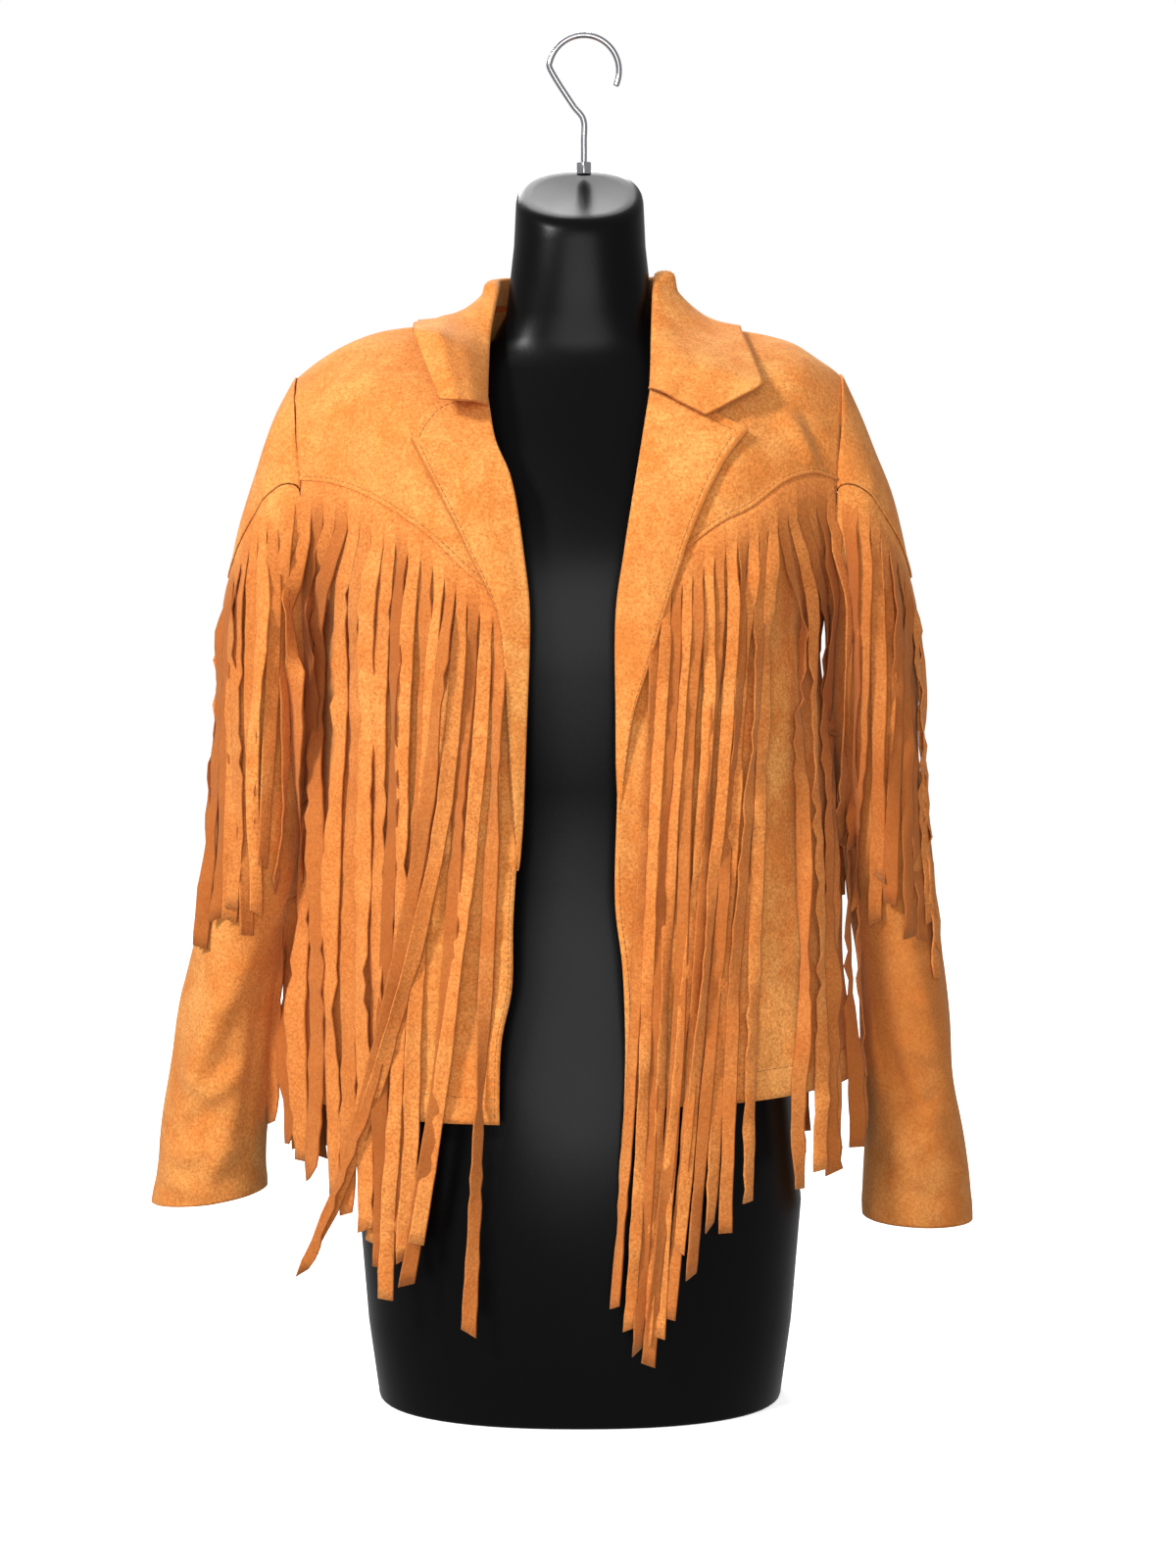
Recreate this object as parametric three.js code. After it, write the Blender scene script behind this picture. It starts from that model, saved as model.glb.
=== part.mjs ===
// A cropped suede jacket with long fringe, on a limbless torso form with a wire hook.
// Millimetres, +Z up. The front of the jacket faces -Y. The origin is the centre of the
// form's flat foot, which the whole thing stands on.
import * as THREE from 'three';

// ---- driving sizes -------------------------------------------------------------------
const CLOTH = 1.5;            // wall of a suede piece
const SEAM = 0.5;             // space between two pieces at a seam
const FRINGE_WALL = 4;        // wall of the solid that stands for a hanging fringe
const FRINGE_LIFT = 4;        // a fringe hangs this far off the panel under it
const LAPEL_LIFT = 5;         // a lapel's outer edge lies this far off the yoke
const ARMHOLE_DEPTH = 62;     // half the front-to-back size of an armhole
const ARMPIT_Z = 590;

// ---- materials -----------------------------------------------------------------------
const suede = new THREE.MeshStandardMaterial({ color: 0xd9812f, roughness: 0.95 });
const suedeFringe = new THREE.MeshStandardMaterial({ color: 0xc9702c, roughness: 0.95 });
const blackPlastic = new THREE.MeshStandardMaterial({ color: 0x1d1e20, roughness: 0.4 });
const chrome = new THREE.MeshStandardMaterial({ color: 0xc8c8cc, roughness: 0.12, metalness: 1 });

const jacket = new THREE.Group();

// ---- small helpers -------------------------------------------------------------------
const V = (x, y, z) => new THREE.Vector3(x, y, z);
const mix = (a, b, t) => a + (b - a) * t;
const clamp01 = (t) => Math.min(1, Math.max(0, t));

// A smooth curve through rows of [x, y, z].
function through(rows) {
  const curve = new THREE.CatmullRomCurve3(rows.map((r) => V(...r)), false, 'centripetal');
  return (t) => curve.getPointAt(clamp01(t));
}

// One curve made of several, each taking its share of the way.
function joined(...parts) {
  return (t) => {
    let start = 0;
    for (const [share, curve] of parts) {
      if (t <= start + share || curve === parts[parts.length - 1][1]) {
        return curve(clamp01((t - start) / share));
      }
      start += share;
    }
    return null;
  };
}

// The surface that fills four edge curves: bottom and top run with u, left and right with v.
// reach says how far in the left and right edges shape it: 1 is all the way across.
function patch(bottom, top, left, right, reach = 1) {
  return (u, v) => {
    const ruled = (at) => bottom(at).lerp(top(at), v);
    return ruled(u)
      .addScaledVector(left(v).sub(ruled(0)), (1 - u) ** reach)
      .addScaledVector(right(v).sub(ruled(1)), u ** reach);
  };
}
const EDGE_REACH = 3;

// The way out of a surface at (u, v); facing is 1 or -1 to pick the side.
function normalAt(surface, u, v, facing) {
  const step = 0.004;
  const du = surface(Math.min(1, u + step), v).sub(surface(Math.max(0, u - step), v));
  const dv = surface(u, Math.min(1, v + step)).sub(surface(u, Math.max(0, v - step)));
  return du.cross(dv).normalize().multiplyScalar(facing);
}

// A closed body between two grids of points, outer and inner, that share their edges' faces.
// rows[j][i] run along u; a ring's rows close on themselves.
function shell(outer, inner, ring = false) {
  const rows = outer.length;
  const columns = outer[0].length;
  const at = (layer, j, i) => (layer * rows + j) * columns + (i % columns);
  const faces = [];
  const quad = (a, b, c, d) => faces.push(a, b, c, a, c, d);
  const last = ring ? columns : columns - 1;
  for (let j = 0; j < rows - 1; j += 1) {
    for (let i = 0; i < last; i += 1) {
      quad(at(0, j, i), at(0, j, i + 1), at(0, j + 1, i + 1), at(0, j + 1, i));
      quad(at(1, j, i), at(1, j + 1, i), at(1, j + 1, i + 1), at(1, j, i + 1));
    }
  }
  for (let i = 0; i < last; i += 1) {
    quad(at(0, 0, i), at(1, 0, i), at(1, 0, i + 1), at(0, 0, i + 1));
    quad(at(0, rows - 1, i), at(0, rows - 1, i + 1), at(1, rows - 1, i + 1), at(1, rows - 1, i));
  }
  for (let j = 0; !ring && j < rows - 1; j += 1) {
    quad(at(0, j, 0), at(0, j + 1, 0), at(1, j + 1, 0), at(1, j, 0));
    quad(at(0, j, last), at(1, j, last), at(1, j + 1, last), at(0, j + 1, last));
  }
  return solid([...outer.flat(), ...inner.flat()], faces);
}

// A geometry from points and faces, turned so that its faces point out.
function solid(points, faces) {
  let volume = 0;
  for (let k = 0; k < faces.length; k += 3) {
    const [a, b, c] = [0, 1, 2].map((n) => points[faces[k + n]]);
    volume += a.dot(b.clone().cross(c));
  }
  const order = volume > 0 ? faces : faces.slice().reverse();
  const geometry = new THREE.BufferGeometry();
  const places = points.flatMap((p) => p.toArray());
  geometry.setAttribute('position', new THREE.Float32BufferAttribute(places, 3));
  geometry.setIndex(order);
  geometry.computeVertexNormals();
  return geometry;
}

// A wall of cloth: the surface is its outer face, and low and high are how far it stands
// off that surface at its inner and outer face.
// The edges at the side and shoulder seams lie in the plane y = 0, and the edge in the
// level row, if there is one, lies flat.
function cloth(surface, { facing = 1, across = 12, down = 12, low = -CLOTH, high = 0,
  fromU = 0, toU = 1, fromV = 0, toV = 1, levelRow = -1 }) {
  const outer = [];
  const inner = [];
  for (let j = 0; j <= down; j += 1) {
    const v = mix(fromV, toV, j / down);
    const outerRow = [];
    const innerRow = [];
    for (let i = 0; i <= across; i += 1) {
      const u = mix(fromU, toU, i / across);
      const point = surface(u, v);
      const out = normalAt(surface, u, v, facing);
      if (Math.abs(point.y) < SEAM) out.setY(0).normalize();
      if (j === levelRow) out.setZ(0).normalize();
      outerRow.push(point.clone().addScaledVector(out, high));
      innerRow.push(point.clone().addScaledVector(out, low));
    }
    outer.push(outerRow);
    inner.push(innerRow);
  }
  return shell(outer, inner);
}

function add(name, geometry, material) {
  const mesh = new THREE.Mesh(geometry, material);
  mesh.name = name;
  jacket.add(mesh);
}

// ---- the jacket's lines, one table each ----------------------------------------------
// left is at -X, right at +X. Every row is [distance from the middle, y, z].
const LINES = {
  left: {
    sign: -1,
    // Front edge from the hem corner up to the yoke seam.
    frontEdge: [[56, -113, 225], [54, -113, 285], [47, -113, 322], [46, -112, 369],
      [42, -112, 434], [39, -114, 495], [36, -117, 586]],
    // Edge of the front yoke: the fold of the lapel, then the seam that holds the collar.
    neckEdge: [[36, -117, 586], [39, -117, 617], [49, -110, 678], [60, -98, 704],
      [68, -84, 724], [72, -58, 752], [74, -32, 778], [70, 0, 800]],
    hem: [[56, -113, 225], [110, -106, 226], [168, -76, 229], [205, -38, 231], [216, 0, 232]],
    sideSeam: [[216, 0, 232], [208, 0, 300], [198, 0, 420], [192, 0, 520], [190, 0, ARMPIT_Z]],
    yokeSeam: [[36, -117, 586], [69, -117, 606], [103, -113, 637], [125, -106, 653],
      [149, -93, 667], [175, -77, 676]],
    shoulder: [[70, 0, 800], [100, 0, 795], [145, 0, 789], [170, 0, 780], [192, 0, 767]],
    shoulderTip: 207,
    backHem: [[216, 0, 232], [203, 42, 232], [160, 82, 232], [80, 104, 232], [0, 108, 232]],
    backSeam: [[172, 79, 676], [150, 92, 668], [100, 106, 640], [50, 112, 610], [0, 113, 596]],
  },
  right: {
    sign: 1,
    frontEdge: [[31, -110, 236], [32, -110, 282], [30, -110, 337], [25, -110, 380],
      [26, -111, 450], [27, -114, 510], [27, -117, 586]],
    neckEdge: [[27, -117, 586], [33, -117, 629], [40, -110, 673], [46, -100, 709],
      [55, -84, 735], [62, -58, 758], [68, -30, 780], [70, 0, 800]],
    hem: [[31, -110, 236], [100, -105, 238], [150, -82, 240], [190, -42, 242], [206, 0, 243]],
    sideSeam: [[206, 0, 243], [200, 0, 300], [190, 0, 420], [180, 0, 520], [176, 0, ARMPIT_Z]],
    yokeSeam: [[27, -117, 586], [75, -117, 630], [99, -113, 648], [117, -107, 657],
      [144, -92, 677], [165, -76, 683]],
    shoulder: [[70, 0, 800], [98, 0, 793], [138, 0, 786], [159, 0, 779], [178, 0, 765]],
    shoulderTip: 190,
    backHem: [[206, 0, 243], [193, 42, 240], [155, 80, 236], [80, 104, 232], [0, 108, 232]],
    backSeam: [[160, 79, 683], [140, 92, 674], [95, 106, 642], [50, 112, 610], [0, 113, 596]],
  },
};
const SHOULDER_TIP_Z = 755;
const SIDES = ['left', 'right'];

// A point of the armhole of a side; turn 0 is its front, a quarter its top, a half its back.
function armhole(side, turn) {
  const { sign, sideSeam, shoulderTip } = LINES[side];
  const low = sideSeam[sideSeam.length - 1][0];
  const angle = turn * 2 * Math.PI;
  const height = Math.sin(angle);
  const middle = (ARMPIT_Z + SHOULDER_TIP_Z) / 2;
  const x = mix(low, shoulderTip, (height + 1) / 2);
  const z = middle + height * (SHOULDER_TIP_Z - ARMPIT_Z) / 2;
  return V(sign * x, -ARMHOLE_DEPTH * Math.cos(angle), z);
}

// A stretch of the armhole as a curve, from one turn to another.
const armholeCurve = (side, from, to) => (t) => armhole(side, mix(from, to, t));

// The turns at which the yoke seams meet the armhole, on the front and on the back.
const FRONT_MEET = 0.012;
const BACK_MEET = 0.5 - FRONT_MEET;

// The rows of a line as points of their side.
const placed = (side, rows) => rows.map(([x, y, z]) => [LINES[side].sign * x, y, z]);

// All the curves of one side.
function curvesOf(side) {
  const line = LINES[side];
  const meetFront = armhole(side, FRONT_MEET).toArray();
  const meetBack = armhole(side, BACK_MEET).toArray();
  const tip = armhole(side, 0.25).toArray();
  return {
    frontEdge: through(placed(side, line.frontEdge)),
    neckEdge: through(placed(side, line.neckEdge)),
    hem: through(placed(side, line.hem)),
    yokeSeam: through([...placed(side, line.yokeSeam), meetFront]),
    shoulder: through([...placed(side, line.shoulder), tip]),
    sideSeam: through(placed(side, line.sideSeam)),
    backHem: through(placed(side, line.backHem)),
    backSeam: through([meetBack, ...placed(side, line.backSeam)]),
  };
}
const CURVES = { left: curvesOf('left'), right: curvesOf('right') };
const backwards = (curve) => (t) => curve(1 - t);

// ---- the panels as surfaces ----------------------------------------------------------
// A front runs with u from its edge to the side seam, and with v from the hem up.
const SIDE_SHARE = 0.72;      // how much of a side edge is side seam, below the armhole
function frontSurface(side) {
  const c = CURVES[side];
  const outerEdge = joined([SIDE_SHARE, c.sideSeam],
    [1 - SIDE_SHARE, armholeCurve(side, -0.25, FRONT_MEET)]);
  return patch(c.hem, c.yokeSeam, c.frontEdge, outerEdge, EDGE_REACH);
}

function yokeSurface(side) {
  const c = CURVES[side];
  return patch(c.yokeSeam, c.shoulder, c.neckEdge, armholeCurve(side, FRONT_MEET, 0.25));
}

// The back runs with u from the left side seam to the right one.
const bothSides = (name) => joined([0.5, CURVES.left[name]], [0.5, backwards(CURVES.right[name])]);
function backSurface() {
  const edge = (side) => joined([SIDE_SHARE, CURVES[side].sideSeam],
    [1 - SIDE_SHARE, armholeCurve(side, 0.75, BACK_MEET)]);
  return patch(bothSides('backHem'), bothSides('backSeam'), edge('left'), edge('right'), EDGE_REACH);
}

const BACK_NECK = [[-70, 0, 800], [-62, 28, 806], [-38, 52, 810], [0, 62, 811],
  [38, 52, 810], [62, 28, 806], [70, 0, 800]];
const NECK_SHARE = 0.34;      // the part of the back yoke's top edge that is neck
function backYokeSurface() {
  const shoulderShare = (1 - NECK_SHARE) / 2;
  const top = joined([shoulderShare, backwards(CURVES.left.shoulder)],
    [NECK_SHARE, through(BACK_NECK)], [shoulderShare, CURVES.right.shoulder]);
  return patch(bothSides('backSeam'), top, armholeCurve('left', BACK_MEET, 0.25),
    armholeCurve('right', BACK_MEET, 0.25));
}

const FRONT = { left: frontSurface('left'), right: frontSurface('right') };
const YOKE = { left: yokeSurface('left'), right: yokeSurface('right') };
const BACK = backSurface();
const BACK_YOKE = backYokeSurface();

// A panel's edges stand back from the seams by these shares of its width and height.
function seamed(name, surface, { width, height, ...options }) {
  const du = SEAM / 2 / width;
  const dv = SEAM / 2 / height;
  add(name, cloth(surface, { fromU: du, toU: 1 - du, fromV: dv, toV: 1 - dv, ...options }), suede);
}

for (const side of SIDES) {
  const facing = LINES[side].sign;
  seamed(`front_${side}`, FRONT[side],
    { facing, width: 200, height: 370, across: 11, down: 11, levelRow: 11 });
  seamed(`yoke_${side}`, YOKE[side],
    { facing, width: 170, height: 170, across: 11, down: 8, levelRow: 0 });
}
seamed('back', BACK, { facing: -1, width: 480, height: 390, across: 20, down: 9, levelRow: 9 });
seamed('back_yoke', BACK_YOKE,
  { facing: -1, width: 400, height: 180, across: 20, down: 7, levelRow: 0 });

// ---- sleeves -------------------------------------------------------------------------
// Rings down the sleeve: outer and inner point seen from the front, middle and half depth.
const SLEEVE_ROWS = {
  left: [
    // outerX, outerZ, innerX, innerZ, middleY, halfDepth
    [207.5, 755, 190.5, 590, 0, 62],
    [224, 722, 192, 587, 1, 63],
    [241, 670, 194, 582, 2, 64],
    [256, 613, 195, 570, 4, 64],
    [261, 560, 196, 540, 6, 62],
    [266, 480, 200, 478, 9, 58],
    [272, 410, 208, 408, 12, 55],
    [285, 345, 218, 343, 14, 52],
    [299, 275, 229, 273, 15, 49],
    [311, 205, 236, 207, 15, 46],
    [321, 143, 238, 153, 15, 44],
  ],
  right: [
    [190.5, 755, 176.5, 590, 0, 62],
    [207, 722, 179, 587, 1, 63],
    [226, 670, 181, 582, 2, 64],
    [241, 613, 182, 570, 5, 64],
    [247, 560, 183, 540, 9, 62],
    [252, 480, 190, 478, 14, 57],
    [259, 410, 198, 408, 18, 53],
    [268, 345, 206, 343, 22, 50],
    [276, 275, 212, 273, 24, 47],
    [287, 203, 216, 203, 24, 44],
    [296, 128, 217, 130, 24, 42],
  ],
};

// The sleeve's surface: turn as for the armhole, row counted down the table, out moves it
// off the cloth.
function sleevePoint(side, turn, row, out = 0) {
  const rows = SLEEVE_ROWS[side];
  const k = Math.min(rows.length - 2, Math.max(0, Math.floor(row)));
  const t = row - k;
  const near = (n) => rows[Math.min(rows.length - 1, Math.max(0, k + n))];
  const value = (column) => {
    const [p0, p1, p2, p3] = [near(-1), near(0), near(1), near(2)].map((r) => r[column]);
    return 0.5 * (2 * p1 + (p2 - p0) * t + (2 * p0 - 5 * p1 + 4 * p2 - p3) * t * t
      + (3 * p1 - p0 - 3 * p2 + p3) * t * t * t);
  };
  const [outerX, outerZ, innerX, innerZ, middleY, halfDepth] = [0, 1, 2, 3, 4, 5].map(value);
  const half = V((outerX - innerX) / 2, 0, (outerZ - innerZ) / 2);
  half.setLength(half.length() + out);
  const angle = turn * 2 * Math.PI;
  const x = (outerX + innerX) / 2 + half.x * Math.sin(angle);
  const z = (outerZ + innerZ) / 2 + half.z * Math.sin(angle);
  return V(LINES[side].sign * x, middleY - (halfDepth + out) * Math.cos(angle), z);
}

const LAST_ROW = 10;
const SLEEVE_SEAM_DROP = 3.1; // rows down to the sleeve seam at the outside of the arm
const CAP_END = 0.045;        // rows down to the seam where the cap runs out
const SEAM_ROW = 0.012;       // half the space at the sleeve seam, in rows
const TURN_STEPS = 24;        // columns round a sleeve

// How far down the sleeve its seam lies at a turn of its upper half.
const sleeveSeam = (turn) => Math.max(CAP_END,
  SLEEVE_SEAM_DROP * Math.max(0, Math.sin(turn * 2 * Math.PI)) ** 0.9);

// A sleeve's wall between two borders given in rows, all round or over a part of a turn.
function sleeveWall(side, { top, bottom, down, ring, fromTurn = 0, toTurn = 1,
  across = TURN_STEPS, low = -CLOTH, high = 0 }) {
  const columns = ring ? across : across + 1;
  const grid = (out) => Array.from({ length: down + 1 }, (_, j) => (
    Array.from({ length: columns }, (_, i) => {
      const turn = mix(fromTurn, toTurn, i / across);
      return sleevePoint(side, turn, mix(top(turn), bottom(turn), j / down), out);
    })));
  return shell(grid(high), grid(low), ring);
}

for (const side of SIDES) {
  const inCap = (turn) => turn < 0.5 + 0.5 / TURN_STEPS;
  add(`sleeve_cap_${side}`, sleeveWall(side, {
    top: () => 0,
    bottom: (turn) => sleeveSeam(turn) - SEAM_ROW,
    toTurn: 0.5, across: TURN_STEPS / 2, down: 4, ring: false,
  }), suede);
  add(`sleeve_${side}`, sleeveWall(side, {
    top: (turn) => (inCap(turn) ? sleeveSeam(turn) + SEAM_ROW : 0),
    bottom: () => LAST_ROW, down: 10, ring: true,
  }), suede);
}

// ---- lapels and front fringes --------------------------------------------------------
// The u at which a front or yoke surface has a given distance from the middle at v.
function uAt(surface, v, distance) {
  let [low, high] = [0, 1];
  for (let k = 0; k < 24; k += 1) {
    const u = (low + high) / 2;
    if (Math.abs(surface(u, v).x) < distance) low = u;
    else high = u;
  }
  return (low + high) / 2;
}

// The point of the front or yoke at a distance from the middle and a height, moved out.
function onFront(side, distance, height, lift) {
  const belowSeams = height < CURVES[side].yokeSeam(0).z;
  for (const choice of belowSeams ? [FRONT[side]] : [FRONT[side], YOKE[side]]) {
    let [low, high] = [0, 1];
    if (choice(uAt(choice, 1, distance), 1).z < height) continue;
    for (let k = 0; k < 24; k += 1) {
      const v = (low + high) / 2;
      if (choice(uAt(choice, v, distance), v).z < height) low = v;
      else high = v;
    }
    const v = (low + high) / 2;
    const u = uAt(choice, v, distance);
    const out = normalAt(choice, u, v, LINES[side].sign);
    return choice(u, v).addScaledVector(out, lift);
  }
  return null;
}

// Rows of [distance from the middle, height], from the break of the lapel up.
const LAPELS = {
  left: {
    fold: [[42.5, 413], [39, 495], [36.3, 586], [39.2, 617], [49.2, 678], [60.2, 704], [67.5, 721]],
    edge: [[45, 411], [49, 494], [52, 544], [57, 584], [76, 625], [100, 672], [116, 702]],
    gorge: [[67.5, 721], [84, 727], [97, 729.5], [108, 717], [116, 702]],
  },
  right: {
    fold: [[26.8, 455], [27.3, 510], [27.3, 586], [33.2, 629], [40.2, 673], [46.2, 709], [53.5, 731]],
    edge: [[29.5, 453], [37.6, 515], [47, 545], [66, 607], [81, 650], [100, 688], [116, 709.5]],
    gorge: [[53.5, 731], [70, 725], [87, 718.5], [102, 714], [116, 709.5]],
  },
};
const flat = (rows) => through(rows.map(([x, z]) => [x, 0, z]));

function lapelSurface(side) {
  const { fold, edge, gorge } = LAPELS[side];
  const outline = patch(flat([fold[0], edge[0]]), flat(gorge), flat(fold), flat(edge));
  return (u, v) => {
    const place = outline(u, v);
    const rise = Math.sin(clamp01(u * 1.6) * Math.PI / 2);
    return onFront(side, place.x, place.z, mix(CLOTH + 1.2, LAPEL_LIFT, rise));
  };
}
for (const side of SIDES) {
  const options = { facing: LINES[side].sign, across: 6, down: 12 };
  add(`lapel_${side}`, cloth(lapelSurface(side), options), suede);
}

// A value from a table of [key, value] rows, straight between rows.
function look(table, key) {
  const k = table.findIndex(([limit]) => key <= limit);
  if (k <= 0) return k === 0 ? table[0][1] : table[table.length - 1][1];
  const [[k0, v0], [k1, v1]] = [table[k - 1], table[k]];
  return mix(v0, v1, (key - k0) / (k1 - k0));
}

// inner: distance of the fringe's inner border from the middle at a height. tips: height
// of the lowest strands at a share of the width, from the inner border outwards.
const FRONT_FRINGE = {
  left: {
    inner: [[225, 61], [300, 58], [412, 50], [494, 52.5], [545, 55.5], [585, 61], [608, 74]],
    tips: [[0, 80], [0.35, 92], [0.6, 150], [0.8, 172], [1, 190]],
  },
  right: {
    inner: [[236, 38], [412, 32], [453, 32], [515, 41], [545, 51], [607, 70], [632, 80]],
    tips: [[0, 55], [0.2, 60], [0.4, 130], [0.7, 165], [1, 200]],
  },
};
const FRINGE_OUTER = [[0, 0.92], [0.5, 0.88], [0.8, 0.84], [0.9, 0.86], [1, 0.97]];
const HEM_SHARE = 0.8;        // how much of a fringe's rows lie on the panel
const FRINGE_START = 0.004;   // the fringe starts this share of the panel below its seam

function frontFringeSurface(side) {
  const { inner, tips } = FRONT_FRINGE[side];
  return (u, w) => {
    const v = (1 - FRINGE_START) * (1 - Math.min(1, w / HEM_SHARE));
    let from = 0;
    for (let k = 0; k < 4; k += 1) {
      from = uAt(FRONT[side], v, look(inner, FRONT[side](from, v).z));
    }
    const point = FRONT[side](mix(from, look(FRINGE_OUTER, v), u), v);
    const below = Math.max(0, (w - HEM_SHARE) / (1 - HEM_SHARE));
    point.z = mix(point.z, look(tips, u), below);
    return point;
  };
}

const BACK_FRINGE_MARGIN = [[0, 0.05], [0.8, 0.08], [0.9, 0.06], [1, 0.02]];
const BACK_TIPS = [[0, 185], [0.25, 150], [0.5, 85], [0.75, 150], [1, 190]];
function backFringeSurface(u, w) {
  const v = (1 - FRINGE_START) * (1 - Math.min(1, w / HEM_SHARE));
  const margin = look(BACK_FRINGE_MARGIN, v);
  const point = BACK(mix(margin, 1 - margin, u), v);
  const below = Math.max(0, (w - HEM_SHARE) / (1 - HEM_SHARE));
  point.z = mix(point.z, look(BACK_TIPS, u), below);
  return point;
}

const fringeWall = { low: FRINGE_LIFT, high: FRINGE_LIFT + FRINGE_WALL, down: 10 };
for (const side of SIDES) {
  const wall = cloth(frontFringeSurface(side), { facing: -LINES[side].sign, across: 9, ...fringeWall });
  add(`fringe_front_${side}`, wall, suedeFringe);
}
add('fringe_back', cloth(backFringeSurface, { facing: 1, across: 18, ...fringeWall }), suedeFringe);

const SLEEVE_FRINGE_END = 7.1; // row of the sleeve that its fringe reaches
for (const side of SIDES) {
  add(`fringe_sleeve_${side}`, sleeveWall(side, {
    top: (turn) => sleeveSeam(turn) + 2 * SEAM_ROW,
    bottom: () => SLEEVE_FRINGE_END,
    fromTurn: 0.05, toTurn: 0.45, across: 11, down: 6, ring: false,
    low: FRINGE_LIFT, high: FRINGE_LIFT + FRINGE_WALL,
  }), suedeFringe);
}

// ---- collar --------------------------------------------------------------------------
// Three lines from the left gorge round the back of the neck to the right gorge.
const COLLAR_FOOT = [[-66, -86, 728], [-69, -58, 757], [-69, -30, 784], [-65, 0, 805],
  [-57, 28, 809], [-36, 50, 812], [0, 59, 813], [36, 50, 812], [57, 28, 809], [65, 0, 805],
  [63, -30, 786], [57, -58, 764], [50, -84, 740]];
const COLLAR_FOLD = [[-66, -92, 729], [-66, -68, 757], [-65, -40, 787], [-58, -6, 821],
  [-58, 22, 830], [-40, 49, 835], [0, 63, 838], [40, 49, 835], [58, 22, 832], [56, -6, 828],
  [53, -40, 790], [52, -66, 764], [51, -90, 740]];
const COLLAR_EDGE = [[-97, -99, 733], [-119, -54, 786], [-120, -20, 798], [-117, 10, 798],
  [-104, 48, 785], [-70, 84, 768], [0, 98, 762], [70, 84, 768], [104, 48, 785], [117, 8, 795],
  [120, -28, 788], [129, -86, 744], [88, -103, 723]];
const COLLAR_FOLD_SHARE = 0.4; // share of the collar's depth that is stand

function collarSurface() {
  const [foot, fold, edge] = [COLLAR_FOOT, COLLAR_FOLD, COLLAR_EDGE].map((rows) => (
    new THREE.CatmullRomCurve3(rows.map((r) => V(...r)), false, 'centripetal')));
  return (u, v) => {
    const [a, b, c] = [foot, fold, edge].map((curve) => curve.getPoint(clamp01(u)));
    if (v <= COLLAR_FOLD_SHARE) return a.lerp(b, Math.sin(v / COLLAR_FOLD_SHARE * Math.PI / 2));
    const t = (v - COLLAR_FOLD_SHARE) / (1 - COLLAR_FOLD_SHARE);
    const point = b.clone().lerp(c, t);
    const hump = Math.sin(Math.PI * Math.sqrt(t)) * 0.1 * b.distanceTo(c);
    point.z += hump * 0.7;
    return point;
  };
}
add('collar', cloth(collarSurface(), { facing: -1, across: 32, down: 8 }), suede);

// ---- the form, its hook and nut ------------------------------------------------------
// Rows of the form: height, half width, half depth. Every level is a rounded oval.
const FORM_ROWS = [
  [0, 150, 95], [60, 158, 104], [150, 165, 110], [250, 155, 104], [330, 128, 88],
  [390, 116, 82], [460, 124, 88], [540, 140, 100], [600, 146, 100], [640, 150, 93],
  [690, 156, 76], [720, 156, 62], [742, 142, 52], [758, 112, 44], [770, 84, 40],
  [782, 64, 40], [800, 54, 43], [824, 51, 45], [850, 48, 45],
];
const FORM_AROUND = 32;
const FORM_SQUARENESS = 2.3;  // 2 is an ellipse, more is boxier
const CAP_FRONT_Z = 862;      // the slanted top of the neck, front and back
const CAP_BACK_Z = 914;
const CAP_ROUNDING = [[0, 1], [0.5, 0.965], [0.85, 0.86], [1, 0.72]];
const CAP_HALF = [46.5, 45];

function oval(halfWidth, halfDepth, height) {
  return Array.from({ length: FORM_AROUND }, (_, i) => {
    const angle = (i / FORM_AROUND) * 2 * Math.PI;
    const power = (value) => Math.sign(value) * Math.abs(value) ** (2 / FORM_SQUARENESS);
    const [x, y] = [halfWidth * power(Math.cos(angle)), halfDepth * power(Math.sin(angle))];
    return V(x, y, typeof height === 'function' ? height(y) : height);
  });
}

function formBody() {
  const slant = (y) => mix(CAP_FRONT_Z, CAP_BACK_Z, (y + CAP_HALF[1]) / (2 * CAP_HALF[1]));
  const rings = FORM_ROWS.map(([z, a, b]) => oval(a, b, z));
  for (const [rise, size] of CAP_ROUNDING) {
    const level = (y) => slant(y) - 8 * (1 - rise);
    rings.push(oval(CAP_HALF[0] * size, CAP_HALF[1] * size, level));
  }
  const points = rings.flat();
  const faces = [];
  for (let j = 0; j < rings.length - 1; j += 1) {
    for (let i = 0; i < FORM_AROUND; i += 1) {
      const next = (i + 1) % FORM_AROUND;
      const [a, b] = [j * FORM_AROUND + i, j * FORM_AROUND + next];
      faces.push(a, b, b + FORM_AROUND, a, b + FORM_AROUND, a + FORM_AROUND);
    }
  }
  const lastRing = (rings.length - 1) * FORM_AROUND;
  points.push(V(0, 0, 0), V(0, 0, slant(0)));
  for (let i = 0; i < FORM_AROUND; i += 1) {
    const next = (i + 1) % FORM_AROUND;
    faces.push(points.length - 2, next, i, points.length - 1, lastRing + i, lastRing + next);
  }
  return solid(points, faces);
}
add('form', formBody(), blackPlastic);

const NUT = { x: 3, y: 24, z: 905.6, radius: 6, height: 9 };
const WIRE_RADIUS = 2.2;
const nutShape = new THREE.CylinderGeometry(NUT.radius, NUT.radius, NUT.height, 6);
nutShape.rotateX(Math.PI / 2).translate(NUT.x, NUT.y, NUT.z + NUT.height / 2);
add('hook_nut', nutShape, chrome);

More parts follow.
